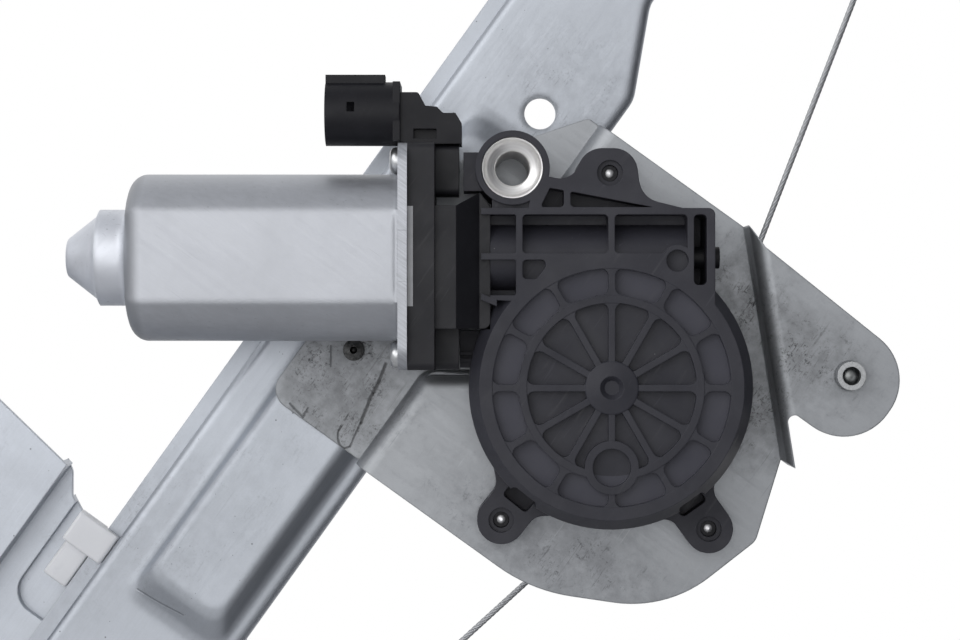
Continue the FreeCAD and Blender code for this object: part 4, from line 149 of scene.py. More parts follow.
class Shader(Tree):
    """One Principled material, whose patterns are measured in millimetres."""

    def __init__(self, name, roughness, metallic=0.0, **inputs):
        self.material = bpy.data.materials.new(name)
        self.material.use_nodes = True
        super().__init__(self.material.node_tree)
        self.surface = self.tree.nodes["Principled BSDF"]
        self.surface.inputs["Roughness"].default_value = roughness
        self.surface.inputs["Metallic"].default_value = metallic
        for key, value in inputs.items():
            self.surface.inputs[key.replace("_", " ")].default_value = value
        self.place = self.tree.nodes.new("ShaderNodeTexCoord").outputs["Object"]
        self.height = None

    def stretch(self, scale, turn=(0, 0, 0), shift=(0, 0, 0)):
        """Coordinates in cycles per millimetre."""
        mapping = self.node("ShaderNodeMapping")
        self.feed(mapping.inputs["Vector"], self.place)
        mapping.inputs["Rotation"].default_value = turn
        mapping.inputs["Location"].default_value = shift
        mapping.inputs["Scale"].default_value = [part / MM for part in scale]
        return mapping.outputs["Vector"]

    def noise(self, scale, detail=3.0, roughness=0.55, turn=(0, 0, 0), shift=(0, 0, 0), distortion=0.0):
        """Noise in cycles per millimetre, one number or one for each axis."""
        made = self.node("ShaderNodeTexNoise")
        if not isinstance(scale, (tuple, list)):
            scale = (scale, scale, scale)
        self.feed(made.inputs["Vector"], self.stretch(scale, turn, shift))
        made.inputs["Scale"].default_value = 1.0
        made.inputs["Detail"].default_value = detail
        made.inputs["Roughness"].default_value = roughness
        made.inputs["Distortion"].default_value = distortion
        return made.outputs["Fac"]

    def crease(self, points, width):
        """1 on a line through points of (x, z) in millimetres, seen along the Y axis, and 0 beside it."""
        nearest = None
        for start, end in zip(points, points[1:]):
            a = Vector((start[0], 0, start[1])) * MM
            run = Vector((end[0], 0, end[1])) * MM - a
            away = self.vector("SUBTRACT", self.place, a)
            share = self.vector("DOT_PRODUCT", away, run / run.length_squared, output="Value")
            share = self.times(share, 1.0, clamp=True)
            foot = self.node("ShaderNodeVectorMath", operation="SCALE")
            self.feed(foot.inputs["Vector"], run)
            self.feed(foot.inputs["Scale"], share)
            offset = self.vector("SUBTRACT", away, foot.outputs["Vector"])
            flat = self.vector("MULTIPLY", offset, (1 / MM, 0, 1 / MM))
            length = self.vector("LENGTH", flat, output="Value")
            nearest = length if nearest is None else self.math("MINIMUM", nearest, length)
        ragged = self.times(self.noise(0.9, 3.0), width)
        near = self.math("SUBTRACT", self.math("ADD", nearest, width / 2), ragged)
        return self.ramp(near, (width * 0.35, 1.0), (width, 0.0))

    def ramp(self, factor, *stops):
        """A value or colour that follows stops of (position, value)."""
        made = self.node("ShaderNodeValToRGB")
        self.feed(made.inputs["Fac"], factor)
        while len(made.color_ramp.elements) < len(stops):
            made.color_ramp.elements.new(0.5)
        for element, (position, value) in zip(made.color_ramp.elements, stops):
            element.position = position
            element.color = colour(value)
        return made.outputs["Color"]

    def spot(self, centre, reach, edge, squash):
        """1 close to a point of the object and 0 past reach, in millimetres, with a ragged edge."""
        mapping = self.node("ShaderNodeMapping", vector_type="TEXTURE")
        self.feed(mapping.inputs["Vector"], self.place)
        mapping.inputs["Location"].default_value = Vector(centre) * MM
        mapping.inputs["Scale"].default_value = [reach * part * MM for part in squash]
        length = self.vector("LENGTH", mapping.outputs["Vector"], output="Value")
        ragged = self.math("MULTIPLY_ADD", self.noise(0.35, 5.0, 0.65), edge, -edge / 2)
        return self.ramp(self.math("ADD", length, ragged), (0.35, 1.0), (1.0, 0.0))

    def edges(self, reach):
        """1 along edges and 0 on flats, from how far a rounded normal leaves the real one."""
        real = self.node("ShaderNodeNewGeometry").outputs["Normal"]
        agreement = self.vector("DOT_PRODUCT", self.rounded(reach), real, output="Value")
        return self.ramp(agreement, (0.80, 1.0), (0.99, 0.0))

    def specks(self, scale, size, share, shift=0.0):
        """Small round dots: cells per millimetre, size and share of the cells that hold one."""
        made = self.node("ShaderNodeTexVoronoi", feature="F1")
        self.feed(made.inputs["Vector"], self.stretch((scale, scale, scale), shift=(shift, shift, shift)))
        made.inputs["Scale"].default_value = 1.0
        dot = self.ramp(made.outputs["Distance"], (size * 0.5, 1.0), (size, 0.0))
        kept = self.math("LESS_THAN", made.outputs["Color"], share)
        return self.times(dot, kept)

    def along(self, direction, *stops):
        """A value that follows stops of (millimetres along a direction, value)."""
        axis = Vector(direction).normalized() / MM
        travelled = self.vector("DOT_PRODUCT", self.place, axis, output="Value")
        low = stops[0][0]
        high = stops[-1][0]
        shares = [((at - low) / (high - low), value) for at, value in stops]
        return self.ramp(self.between(travelled, low, high), *shares)

    def rings(self, centre, scale):
        """Noise in rings round the Y axis through a point, in cycles per millimetre."""
        away = self.vector("SUBTRACT", self.place, centre)
        flat = self.vector("MULTIPLY", away, (scale / MM, 0, scale / MM))
        made = self.node("ShaderNodeTexNoise", noise_dimensions="1D")
        self.feed(made.inputs["W"], self.vector("LENGTH", flat, output="Value"))
        made.inputs["Scale"].default_value = 1.0
        made.inputs["Detail"].default_value = 3.0
        return made.outputs["Fac"]

    def add_height(self, factor, depth):
        """Adds relief, its depth in millimetres."""
        part = self.times(factor, depth)
        self.height = part if self.height is None else self.math("ADD", self.height, part)

    def set(self, key, value):
        self.feed(self.surface.inputs[key], value)

    def rounded(self, corner):
        """Normals as if the corners were rounded, in millimetres."""
        bevel = self.node("ShaderNodeBevel", samples=4)
        bevel.inputs["Radius"].default_value = corner * MM
        return bevel.outputs["Normal"]

    def done(self, corner, wide=None, where=None):
        """Rounds the corners for shading, more where asked, adds the relief and returns the material."""
        normal = self.rounded(corner)
        if wide is not None:
            normal = self.mix(where, normal, self.rounded(wide), kind="VECTOR")
        if self.height is not None:
            bump = self.node("ShaderNodeBump")
            bump.inputs["Strength"].default_value = 1.0
            bump.inputs["Distance"].default_value = MM
            self.feed(bump.inputs["Height"], self.height)
            self.feed(bump.inputs["Normal"], normal)
            normal = bump.outputs["Normal"]
        self.set("Normal", normal)
        return self.material


def colour(value):
    """A socket as it is, and a grey or an (r, g, b) as a colour with alpha."""
    if isinstance(value, bpy.types.NodeSocket):
        return value
    if isinstance(value, (int, float)):
        return (value, value, value, 1.0)
    return (*value[:3], 1.0)


def shade(tone, factor):
    """A colour made darker or lighter."""
    return [part * factor for part in tone]


def sheet_steel(name, tone, grime_and_shade, wear, rolling=(1.2, 1.2, 0.02), dark_lines=(), soft_from=None, metallic=0.8):
    """Galvanised sheet: fine grain, rolling streaks, pin specks, scratches, grime and painted shade in
    places, dark lines over a shallow groove, those on the plate painted as the shade in its creases, and
    edges painted lighter as a highlight.

    Its bends are shaded softer past soft_from, in millimetres along X.
    """
    steel = Shader(name, roughness=0.45, metallic=metallic)
    grain = steel.noise(2.2, 3.0, 0.7)
    base = steel.mix(grain, shade(tone, 0.94), shade(tone, 1.06))
    cloud = steel.ramp(steel.noise(0.05, 5.0, 0.6, distortion=0.4), (0.3, 0.92), (0.7, 1.05))
    base = steel.mix(0.8, base, steel.mix(1.0, base, cloud, "MULTIPLY"))
    streaks = steel.noise(rolling, 4.0, 0.6)
    lines = steel.ramp(streaks, (0.3, 0.93), (0.7, 1.04))
    base = steel.mix(0.8, base, steel.mix(1.0, base, lines, "MULTIPLY"))
    mottle = steel.ramp(steel.noise(0.45, 6.0, 0.7), (0.56, 0.0), (0.72, 1.0))
    base = steel.mix(steel.times(mottle, 0.16 * wear), base, shade(tone, 0.55))
    # Scratches, some bright and some dark
    for turn, shift, tint in ((0.35, 3.0, 1.25), (-0.9, 11.0, 0.7), (1.35, 27.0, 1.2), (2.2, 41.0, 0.6)):
        fine = steel.noise((1.4, 1.4, 0.04), 2.0, 0.5, turn=(0, turn, 0), shift=(shift, 0, 0))
        line = steel.ramp(fine, (0.70, 0.0), (0.72, 1.0))
        here = steel.ramp(steel.noise(0.05, 2.0, shift=(shift, 0, shift)), (0.5, 0.0), (0.6, 1.0))
        scratch = steel.times(line, here)
        base = steel.mix(steel.times(scratch, 0.35 * wear), base, shade(tone, tint))
    # Pin specks
    for scale, size, share, shift in ((0.22, 0.055, 0.35, 2.0), (0.5, 0.07, 0.18, 8.0)):
        base = steel.mix(steel.times(steel.specks(scale, size, share, shift), 0.75), base, 0.05)
    rough = steel.ramp(streaks, (0.25, 0.40), (0.75, 0.50))
    # Grime as flecks and smears, which gathers in the places given, some of which are painted shade
    flecks = steel.ramp(steel.noise(1.5, 5.0, 0.8, shift=(7, 1, 3)), (0.50, 0.0), (0.62, 1.0))
    rubbed = steel.noise((1.8, 1.8, 0.22), 4.0, 0.7, turn=(0, -0.5, 0))
    smears = steel.ramp(rubbed, (0.54, 0.0), (0.66, 1.0))
    gathered = steel.ramp(steel.noise(0.13, 4.0, 0.6, shift=(2, 8, 5)), (0.40, 0.10), (0.60, 1.0))
    grime = steel.times(steel.math("MAXIMUM", flecks, smears), gathered)
    for centre, reach, squash, strength, tint in grime_and_shade:
        mask = steel.spot(centre, reach, 0.9, squash)
        film = steel.ramp(steel.noise(0.3, 6.0, 0.7, shift=(reach, 0, 0)), (0.36, 0.10), (0.64, 0.42))
        film = steel.math("MAXIMUM", film, grime)
        mask = steel.times(steel.times(mask, film), strength, clamp=True)
        base = steel.mix(mask, base, tint)
        rough = steel.mix(mask, rough, 0.7)
    # Each line painted dark, on the plate as the shade in a crease, over a shallow groove
    for points, width, strength in dark_lines:
        line = steel.crease(points, width)
        base = steel.mix(steel.times(line, strength), base, 0.02)
        steel.add_height(line, -0.06)
    # Edges painted lighter as a highlight
    base = steel.mix(steel.times(steel.edges(0.3), 0.35), base, shade(tone, 1.3))
    steel.set("Base Color", base)
    steel.set("Roughness", rough)
    steel.add_height(streaks, 0.008)
    steel.add_height(grain, 0.004)
    steel.add_height(steel.noise(0.05, 3.0), 0.05)
    if soft_from is None:
        return steel.done(0.5)
    soft = steel.along((1, 0, 0), (soft_from - 2.0, 0.0), (soft_from, 1.0))
    return steel.done(0.5, 2.4, soft)


def moulded_plastic(name, tone, roughness=0.5, level=0.3, ring=None):
    """Dark moulded plastic: fine grain, flow marks, scuffs, dust in places, and rubbed edges painted lighter,
    partly as wear and partly as a highlight.

    The ring gives a middle, an inner and an outer radius and a height, past which its floor is painted paler,
    as light in the recess.
    """
    plastic = Shader(name, roughness=roughness, Specular_IOR_Level=level)
    flow = plastic.noise((0.05, 0.05, 0.05), 5.0, 0.6, distortion=1.2)
    base = plastic.mix(flow, shade(tone, 0.86), shade(tone, 1.16))
    if ring is not None:
        centre, inner, outer, face = ring
        away = plastic.vector("SUBTRACT", plastic.place, centre)
        flat = plastic.vector("MULTIPLY", away, (1, 0, 1))
        radius = plastic.vector("LENGTH", flat, output="Value")
        beyond = plastic.math("GREATER_THAN", radius, inner * MM)
        within = plastic.math("LESS_THAN", radius, outer * MM)
        deep = plastic.along((0, 1, 0), (face - 0.1, 0.0), (face, 1.0))
        floor = plastic.times(plastic.times(beyond, within), deep)
        # Painted light: the recessed floor made paler
        base = plastic.mix(floor, base, shade(tone, 1.9))
    film = plastic.ramp(plastic.noise(0.14, 6.0, 0.7, shift=(5, 9, 2)), (0.46, 0.0), (0.78, 1.0))
    base = plastic.mix(plastic.times(film, 0.3), base, [part * 1.6 + 0.010 for part in tone])
    # Rubbed edges, painted lighter partly as wear and partly as a highlight
    rubbed = plastic.ramp(plastic.noise(0.5, 4.0), (0.35, 0.15), (0.65, 1.0))
    rub_and_highlight = plastic.times(plastic.edges(0.3), rubbed)
    base = plastic.mix(plastic.times(rub_and_highlight, 0.55), base, [part * 1.9 + 0.018 for part in tone])
    for turn, shift in ((0.4, 5.0), (1.5, 19.0)):
        fine = plastic.noise((1.6, 1.6, 0.08), 2.0, 0.5, turn=(0, turn, 0), shift=(shift, 0, 0))
        line = plastic.ramp(fine, (0.70, 0.0), (0.73, 1.0))
        base = plastic.mix(plastic.times(line, 0.25), base, [part * 1.8 + 0.02 for part in tone])
    base = plastic.mix(plastic.times(plastic.specks(0.30, 0.035, 0.22), 0.7), base, 0.30)
    plastic.set("Base Color", base)
    dragged = plastic.noise((0.9, 0.9, 0.06), 3.0, turn=(0.2, 0.9, 0.4))
    scuffs = plastic.ramp(dragged, (0.62, 0.0), (0.7, 1.0))
    smooth = plastic.ramp(plastic.noise(0.09, 4.0), (0.3, roughness - 0.08), (0.7, roughness + 0.10))
    plastic.set("Roughness", plastic.mix(scuffs, smooth, roughness - 0.12))
    plastic.add_height(plastic.noise(4.0, 2.0), 0.012)
    plastic.add_height(plastic.noise(0.15, 3.0), 0.03)
    return plastic.done(0.3)


def plated_metal(name, tone, roughness, brushed=(0.1, 2.0, 2.0), turn=(0, 0, 0), streak=0.10, metallic=0.95):
    """Plated or ground metal with turning marks along one direction and faint stains."""
    metal = Shader(name, roughness=roughness, metallic=metallic)
    marks = metal.noise(brushed, 4.0, 0.6, turn=turn)
    base = metal.mix(metal.ramp(marks, (0.3, 0.0), (0.7, 1.0)), shade(tone, 1 - streak), tone)
    stain = metal.ramp(metal.noise(0.08, 5.0, 0.65, shift=(4, 4, 4)), (0.45, 0.0), (0.72, 1.0))
    base = metal.mix(metal.times(stain, 0.3), base, shade(tone, 0.7))
    metal.set("Base Color", base)
    metal.set("Roughness", metal.ramp(marks, (0.2, roughness - 0.06), (0.8, roughness + 0.12)))
    metal.add_height(marks, 0.01)
    return metal.done(0.2)


def screw_heads(tone, places):
    """Dark screws with a painted glint in each recess."""
    head = Shader("black_zinc", roughness=0.35, metallic=0.9)
    marks = head.noise(1.5, 3.0)
    base = head.mix(marks, shade(tone, 0.6), tone)
    for place in places:
        centre = Vector((place.x, 0, place.z)) / MM
        glint = head.spot(centre, 1.1, 0.3, (1, 100, 1))
        base = head.mix(glint, base, (0.75, 0.75, 0.77))
        head.add_height(glint, 0.2)
    head.set("Base Color", base)
    head.set("Roughness", head.ramp(marks, (0.3, 0.28), (0.7, 0.5)))
    return head.done(0.2)


def can_plating(tone):
    """The motor can: drawn lengthwise, turned on its cap, sheared on its flange, with handling marks, its cap
    painted lighter as a highlight and its shoulder painted darker as shade.
    """
    can = Shader("can_plating", roughness=0.4, metallic=0.8)
    drawn = can.noise((0.03, 1.0, 1.0), 5.0, 0.65, turn=ALONG_MOTOR)
    turned = can.noise((1.6, 0.05, 0.05), 4.0, 0.7, turn=ALONG_MOTOR)
    end = can.along(PHOTO_RIGHT, (-95.0, 1.0), (-94.0, 0.0), (-90.0, 0.0))
    shoulder_shade = can.along(PHOTO_RIGHT, (-94.5, 0.0), (-94.0, 1.0), (-91.5, 0.7), (-90.0, 0.0))
    marks = can.mix(end, drawn, turned)
    flange = can.along(PHOTO_RIGHT, (-33.2, 0.0), (-32.9, 1.0), (-30.6, 1.0), (-30.3, 0.0))
    body = can.along(PHOTO_RIGHT, (-33.6, 1.0), (-33.2, 0.0), (-30.0, 0.0))
    sheared = can.noise((0.2, 0.1, 2.6), 3.0, 0.7, turn=ALONG_MOTOR)
    marks = can.mix(flange, marks, sheared)
    base = can.mix(can.ramp(marks, (0.3, 0.0), (0.7, 1.0)), shade(tone, 0.92), shade(tone, 1.04))
    # The cap painted lighter as a highlight
    base = can.mix(end, base, shade(tone, 1.48))
    # The shoulder painted darker as shade on its rounding
    base = can.mix(can.times(shoulder_shade, 0.8), base, shade(tone, 0.58))
    ridges = can.ramp(sheared, (0.35, 1.0), (0.6, 0.0))
    ridged = can.times(flange, ridges)
    base = can.mix(can.times(ridged, 0.55), base, shade(tone, 0.55))
    cloud = can.ramp(can.noise(0.06, 5.0, 0.65, distortion=0.5), (0.42, 0.0), (0.7, 1.0))
    base = can.mix(can.times(cloud, 0.30), base, shade(tone, 0.72))
    for spin, shift in ((0.0, 3.0), (0.5, 13.0), (1.45, 31.0)):
        turn = (0, ALONG_MOTOR[1] + spin, 0)
        fine = can.noise((0.05, 1.5, 1.5), 2.0, 0.5, turn=turn, shift=(0, shift, 0))
        line = can.ramp(fine, (0.69, 0.0), (0.71, 1.0))
        here = can.ramp(can.noise(0.06, 2.0, shift=(shift, 0, 0)), (0.5, 0.0), (0.6, 1.0))
        scratch = can.times(line, here)
        base = can.mix(can.times(scratch, 0.4), base, shade(tone, 0.6))
    base = can.mix(can.times(can.specks(0.25, 0.06, 0.25), 0.6), base, 0.1)
    can.set("Base Color", base)
    can.set("Roughness", can.ramp(marks, (0.25, 0.42), (0.75, 0.54)))
    can.add_height(marks, 0.012)
    can.add_height(can.noise(0.06, 3.0), 0.05)
    return can.done(0.05, 2.2, body)


def dished_ring(tone, centre):
    """Polished steel turned in rings round the bush's axis."""
    ring = Shader("polished_ring", roughness=0.4, metallic=0.9)
    marks = ring.rings(centre, 3.0)
    base = ring.mix(ring.ramp(marks, (0.3, 0.0), (0.7, 1.0)), shade(tone, 0.94), tone)
    ring.set("Base Color", base)
    ring.set("Roughness", ring.ramp(marks, (0.25, 0.36), (0.75, 0.46)))
    ring.add_height(marks, 0.002)
    return ring.done(0.15)


def soft_rubber(name, tone):
    """Dull rubber with a mottled, uneven face."""
    rubber = Shader(name, roughness=0.8)
    base = rubber.mix(rubber.noise(0.4, 5.0), shade(tone, 0.8), shade(tone, 1.25))
    rubber.set("Base Color", base)
    rubber.set("Roughness", rubber.ramp(rubber.noise(0.7, 3.0), (0.3, 0.7), (0.7, 0.92)))
    rubber.add_height(rubber.noise(2.5, 3.0), 0.03)
    return rubber.done(0.2)


def pale_acetal(name, tone, glow, clear=0.0):
    """Natural plastic that lets some light in."""
    acetal = Shader(name, roughness=0.38, Transmission_Weight=clear, Subsurface_Weight=glow,
                    Subsurface_Radius=(1.0, 1.0, 1.0), Subsurface_Scale=3 * MM)
    base = acetal.mix(acetal.noise(0.1, 4.0), shade(tone, 0.94), tone)
    grime = acetal.ramp(acetal.noise(0.3, 6.0, 0.7), (0.55, 0.0), (0.8, 1.0))
    base = acetal.mix(acetal.times(grime, 0.25), base, shade(tone, 0.7))
    acetal.set("Base Color", base)
    acetal.set("Roughness", acetal.ramp(acetal.noise(0.5, 3.0), (0.3, 0.34), (0.7, 0.52)))
    acetal.add_height(acetal.noise(1.5, 2.0), 0.01)
    return acetal.done(0.8)


def dressed(material, *names):
    """Gives a material to carried-over nodes of the frame."""
    for name in names:
        mesh = nodes[name].data
        mesh.materials.clear()
        mesh.materials.append(material)


# Darker patches on the sheets, with grime's flecks and smears in them, some of them painted shade as marked:
# centre and reach in millimetres, squash, strength and colour
PLATE_GRIME_AND_SHADE = [
    # Darker round the upper rivet and over the plate's left corner, under the can's end
    ((-4, -6, -72), 24, (1, 1, 1.3), 0.72, (0.05, 0.05, 0.05)),
    ((4, -6, -84), 18, (1, 1, 1), 0.6, (0.07, 0.07, 0.07)),
    ((-3.3, -6, -71.4), 6, (1, 1, 1), 0.95, (0.02, 0.02, 0.02)),
    # Painted shade on the plate's right: in the hollow between the disc and the arm's wall, along the wall's
    # foot, low on the plate and on the arm's end
    ((65.5, -11, -9), 17, (0.9, 1, 1.6), 1.0, (0.06, 0.06, 0.06)),
    ((80, -11, -28), 22, (1, 1.5, 0.8), 0.9, (0.08, 0.08, 0.08)),
    ((70, -11, -84), 30, (1.6, 1, 0.6), 0.7, (0.10, 0.10, 0.11)),
    ((82, -25, -10), 16, (1.4, 1, 0.7), 0.9, (0.06, 0.06, 0.06)),
]
RAIL_DARK_PATCHES = [
    # Darker over the rail's upper end
    ((6, 0, 6), 26, (1, 1, 1), 0.4, (0.14, 0.14, 0.15)),
    ((-5, -4, -118), 30, (0.5, 1, 1.3), 0.3, (0.22, 0.23, 0.24)),
    ((-24, 6, -140), 22, (1, 1, 1.6), 0.4, (0.20, 0.20, 0.21)),
]
CARRIER_DIRT = [
    ((-52, 5, -150), 40, (1, 1, 0.6), 0.2, (0.24, 0.24, 0.25)),
]
# Dark lines on the sheets over a shallow groove, those on the plate painted as the shade in its creases and
# steps: points (x, z) and width in millimetres, and strength
PLATE_CREASE_SHADE = [
    (((5.1, -70.1), (6.3, -74.5), (6.8, -78.5), (8.5, -84.9)), 0.55, 0.7),
    (((8.5, -84.9), (8.9, -87.2), (9.7, -90.8)), 0.35, 0.5),
    (((5.2, -88.5), (5.4, -89.9), (6.2, -91.2), (7.5, -92.2), (8.8, -92.3), (9.7, -91.1)), 0.35, 0.6),
    (((-7.9, -91.1), (-3.4, -91.9), (-3.8, -89.5)), 0.3, 0.5),
    (((-8.0, -74.2), (-5.2, -78.1)), 0.3, 0.45),
]
RAIL_DARK_LINES = [
    (((-11.8, -149.0), (-5.5, -148.4), (0.7, -147.4)), 0.3, 0.3),
]
GALVANISED = (0.445, 0.470, 0.512)
DULL_SHEET = (0.330, 0.342, 0.360)
# Where the rail's pressed panel begins, along X
PANEL_START = -15.5
# The plate's rolling direction, in streaks per millimetre
PLATE_ROLLING = (0.06, 1.2, 1.0)
# The disc's floors, painted paler as light in the recesses: middle, inner and outer radius, and a y between
# floor and ribs
RING_FLOOR_LIGHT = (GEAR_MIDDLE, 20.0, 28.0, -34.2)


def dress_nodes():
    """Gives every carried-over node its material."""
    plate = sheet_steel("plate_sheet", DULL_SHEET, PLATE_GRIME_AND_SHADE, 1.6, PLATE_ROLLING, PLATE_CREASE_SHADE)
    dressed(plate, "motor_plate")
    rail = sheet_steel("rail_sheet", GALVANISED, RAIL_DARK_PATCHES, 0.7, dark_lines=RAIL_DARK_LINES, soft_from=PANEL_START,
                       metallic=0.9)
    dressed(rail, "rail")
    dressed(sheet_steel("carrier_sheet", shade(GALVANISED, 1.18), CARRIER_DIRT, 0.7), "carrier_plate")
    dressed(moulded_plastic("ribbed_case", (0.030, 0.030, 0.0385), ring=RING_FLOOR_LIGHT), "gear_housing")
    dressed(moulded_plastic("dark_case", (0.0155, 0.0155, 0.019)), "brush_housing")
    dressed(moulded_plastic("drum_case", (0.010, 0.010, 0.012), level=0.25), "drum_housing", "thrust_plug")
    dressed(moulded_plastic("connector_case", (0.008, 0.008, 0.011), 0.46, level=0.24), "connector")
    dressed(moulded_plastic("clamp_case", (0.012, 0.012, 0.014)), "glass_clamp", "cable_block")
    grey = moulded_plastic("drum_grey", (0.08, 0.08, 0.085), 0.45)
    dressed(grey, "cable_drum", "top_pulley", "bottom_pulley")
    dressed(can_plating((0.485, 0.50, 0.535)), "motor_can")
    zinc = plated_metal("bright_zinc", (0.62, 0.63, 0.64), 0.30)
    dressed(zinc, "motor_screws", "clamp_screws", "cable_ferrules", "top_pulley_axle", "bottom_pulley_axle")
    dressed(plated_metal("turned_stud", (0.44, 0.45, 0.46), 0.34, (2.0, 0.6, 2.0), streak=0.4), "arm_stud")
    dark_stain_and_shade = plated_metal("stained_zinc", (0.13, 0.13, 0.13), 0.4, (1.5, 1.5, 1.5), streak=0.7)
    dressed(dark_stain_and_shade, "plate_rivets")
    dressed(screw_heads((0.02, 0.02, 0.022), [gear_point(*lug) for lug in LUGS]), "housing_screws")
    dressed(plated_metal("ball_steel", (0.6, 0.6, 0.6), 0.12), "thrust_ball")
    dressed(plated_metal("ground_shaft", (0.50, 0.50, 0.50), 0.22), "armature_shaft", "drum_axle")
    iron = plated_metal("stack_iron", (0.20, 0.20, 0.21), 0.5, (3.0, 0.1, 0.1), ALONG_MOTOR)
    dressed(iron, "armature_core")
    copper = plated_metal("copper", (0.62, 0.30, 0.16), 0.35, (2.0, 0.4, 0.4), ALONG_MOTOR)
    dressed(copper, "windings", "commutator")
    dressed(plated_metal("contact_metal", (0.62, 0.50, 0.30), 0.28), "connector_pins", "brush_springs")
    bronze = plated_metal("sintered", (0.42, 0.32, 0.20), 0.5, (1.0, 1.0, 1.0))
    dressed(bronze, "rear_bearing", "front_bearing")
    dressed(soft_rubber("seal_grey", (0.42, 0.425, 0.435)), "seal_strip")
    dressed(soft_rubber("rubber_black", (0.012, 0.012, 0.013)), "rubber_damper", "clamp_pads", "end_stops")
    dressed(soft_rubber("ferrite", (0.03, 0.03, 0.032)), "magnets", "brushes")
    dressed(pale_acetal("white_slider", (0.93, 0.94, 0.98), 0.35, 0.2), "slider_clips")
    dressed(pale_acetal("natural_acetal", (0.58, 0.56, 0.51), 0.2), "worm_wheel", "driver", "rear_guide")


def new_piece(name, mesh, material, body, *replaced):
    """Adds a mesh to the scene, riding on a body and standing for the nodes named."""
    piece = bpy.data.objects.new(name, mesh)
    bpy.context.scene.collection.objects.link(piece)
    mesh.materials.append(material)
    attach(piece, body)
    if replaced:
        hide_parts(*replaced)
    return piece


ROPE_RADIUS = 0.75 * MM
STRANDS = 6
LAY = 8.5 * MM
STEPS_PER_LAY = 10
# A strand's radius as a share of the rope's, and the core's as a share of the strands' orbit
STRAND_SHARE = 0.34
CORE_SHARE = 0.8
STRAND_SIDES = 6
ARC_STEPS = 24


def rope_route(name, height_sign):
    """The rope's straight runs and the arc round its pulley, read off the frame's own sizes."""
    centre = middle("top_pulley" if height_sign > 0 else "bottom_pulley")
    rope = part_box(name)
    depth = (rope[0][1] + rope[1][1]) / 2
    wheel = centre.x - rope[0][0] - ROPE_RADIUS
    meet = rope[0][2] if height_sign > 0 else rope[1][2]
    hub = middle("cable_drum")
    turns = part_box("drum_cable_turns")
    pitch = (turns[1][0] - turns[0][0]) / 2 - ROPE_RADIUS
    reach = Vector((hub.x - centre.x, 0, hub.z - centre.z))
    span = reach.length
    rise = abs(reach.z)
    angle = math.atan2(reach.x, rise) + math.pi / 2 - math.acos((pitch - wheel) / span)
    angle *= height_sign
    side = Vector((math.cos(angle), 0, math.sin(angle)))
    lead = Vector((-math.sin(angle), 0, math.cos(angle))) * height_sign
    # The run starts where it has left the drum's turns by a rope's width
    freed = math.sqrt((pitch + 2 * ROPE_RADIUS) ** 2 - pitch ** 2)
    start = Vector((hub.x, depth, hub.z)) + side * pitch + lead * freed
    centre.y = depth
    touch = centre + side * wheel
    points = [start, touch]
    sweep = math.pi - abs(angle)
    for i in range(1, ARC_STEPS):
        spin = height_sign * (abs(angle) + sweep * i / ARC_STEPS)
        points.append(centre + Vector((math.cos(spin), 0, math.sin(spin))) * wheel)
    points.append(Vector((centre.x - wheel, depth, centre.z)))
    points.append(Vector((centre.x - wheel, depth, meet)))
    return points


def resampled(points, step):
    """Evenly spaced points along a run, each with its direction."""
    made = []
    for a, b in zip(points, points[1:]):
        count = max(1, round((b - a).length / step))
        direction = (b - a).normalized()
        for i in range(count):
            made.append((a.lerp(b, i / count), direction))
    made.append((points[-1], (points[-1] - points[-2]).normalized()))
    return made


def rope_mesh(name, points):
    """Strands laid round a core."""
    wire = ROPE_RADIUS * STRAND_SHARE
    orbit = ROPE_RADIUS - wire
    path = resampled(points, LAY / STEPS_PER_LAY)
    vertices = []
    faces = []
    sides = STRAND_SIDES
    across = Vector((0, 1, 0))
    for strand in range(STRANDS + 1):
        first = len(vertices)
        travelled = 0.0
        before = path[0][0]
        for place, direction in path:
            travelled += (place - before).length
            before = place
            phase = 2 * math.pi * (travelled / LAY + strand / STRANDS)
            other = direction.cross(across)
            core = place
            size = orbit * CORE_SHARE
            if strand < STRANDS:
                core = place + (across * math.cos(phase) + other * math.sin(phase)) * orbit
                size = wire
            for k in range(sides):
                turn = 2 * math.pi * k / sides
                vertices.append(core + (across * math.cos(turn) + other * math.sin(turn)) * size)
        for i in range(len(path) - 1):
            for k in range(sides):
                a = first + i * sides + k
                b = first + i * sides + (k + 1) % sides
                faces.append((a, b, b + sides, a + sides))
        last = first + (len(path) - 1) * sides
        faces.append(tuple(first + k for k in reversed(range(sides))))
        faces.append(tuple(last + k for k in range(sides)))
    mesh = bpy.data.meshes.new(name)
    mesh.from_pydata(vertices, [], faces)
    mesh.polygons.foreach_set("use_smooth", [True] * len(mesh.polygons))
    return mesh


def add_ropes():
    """The two laid ropes, standing for the plain ones of the frame."""
    material = plated_metal("rope_wire", (0.52, 0.53, 0.55), 0.34, (1.0, 1.0, 1.0), streak=0.3, metallic=0.85)
    for name, sign in (("upper_cable", 1), ("lower_cable", -1)):
        mesh = rope_mesh(f"{name}_strands", rope_route(name, sign))
        piece = new_piece(f"{name}_strands", mesh, material, "frame", name)


SPUN_SIDES = 48


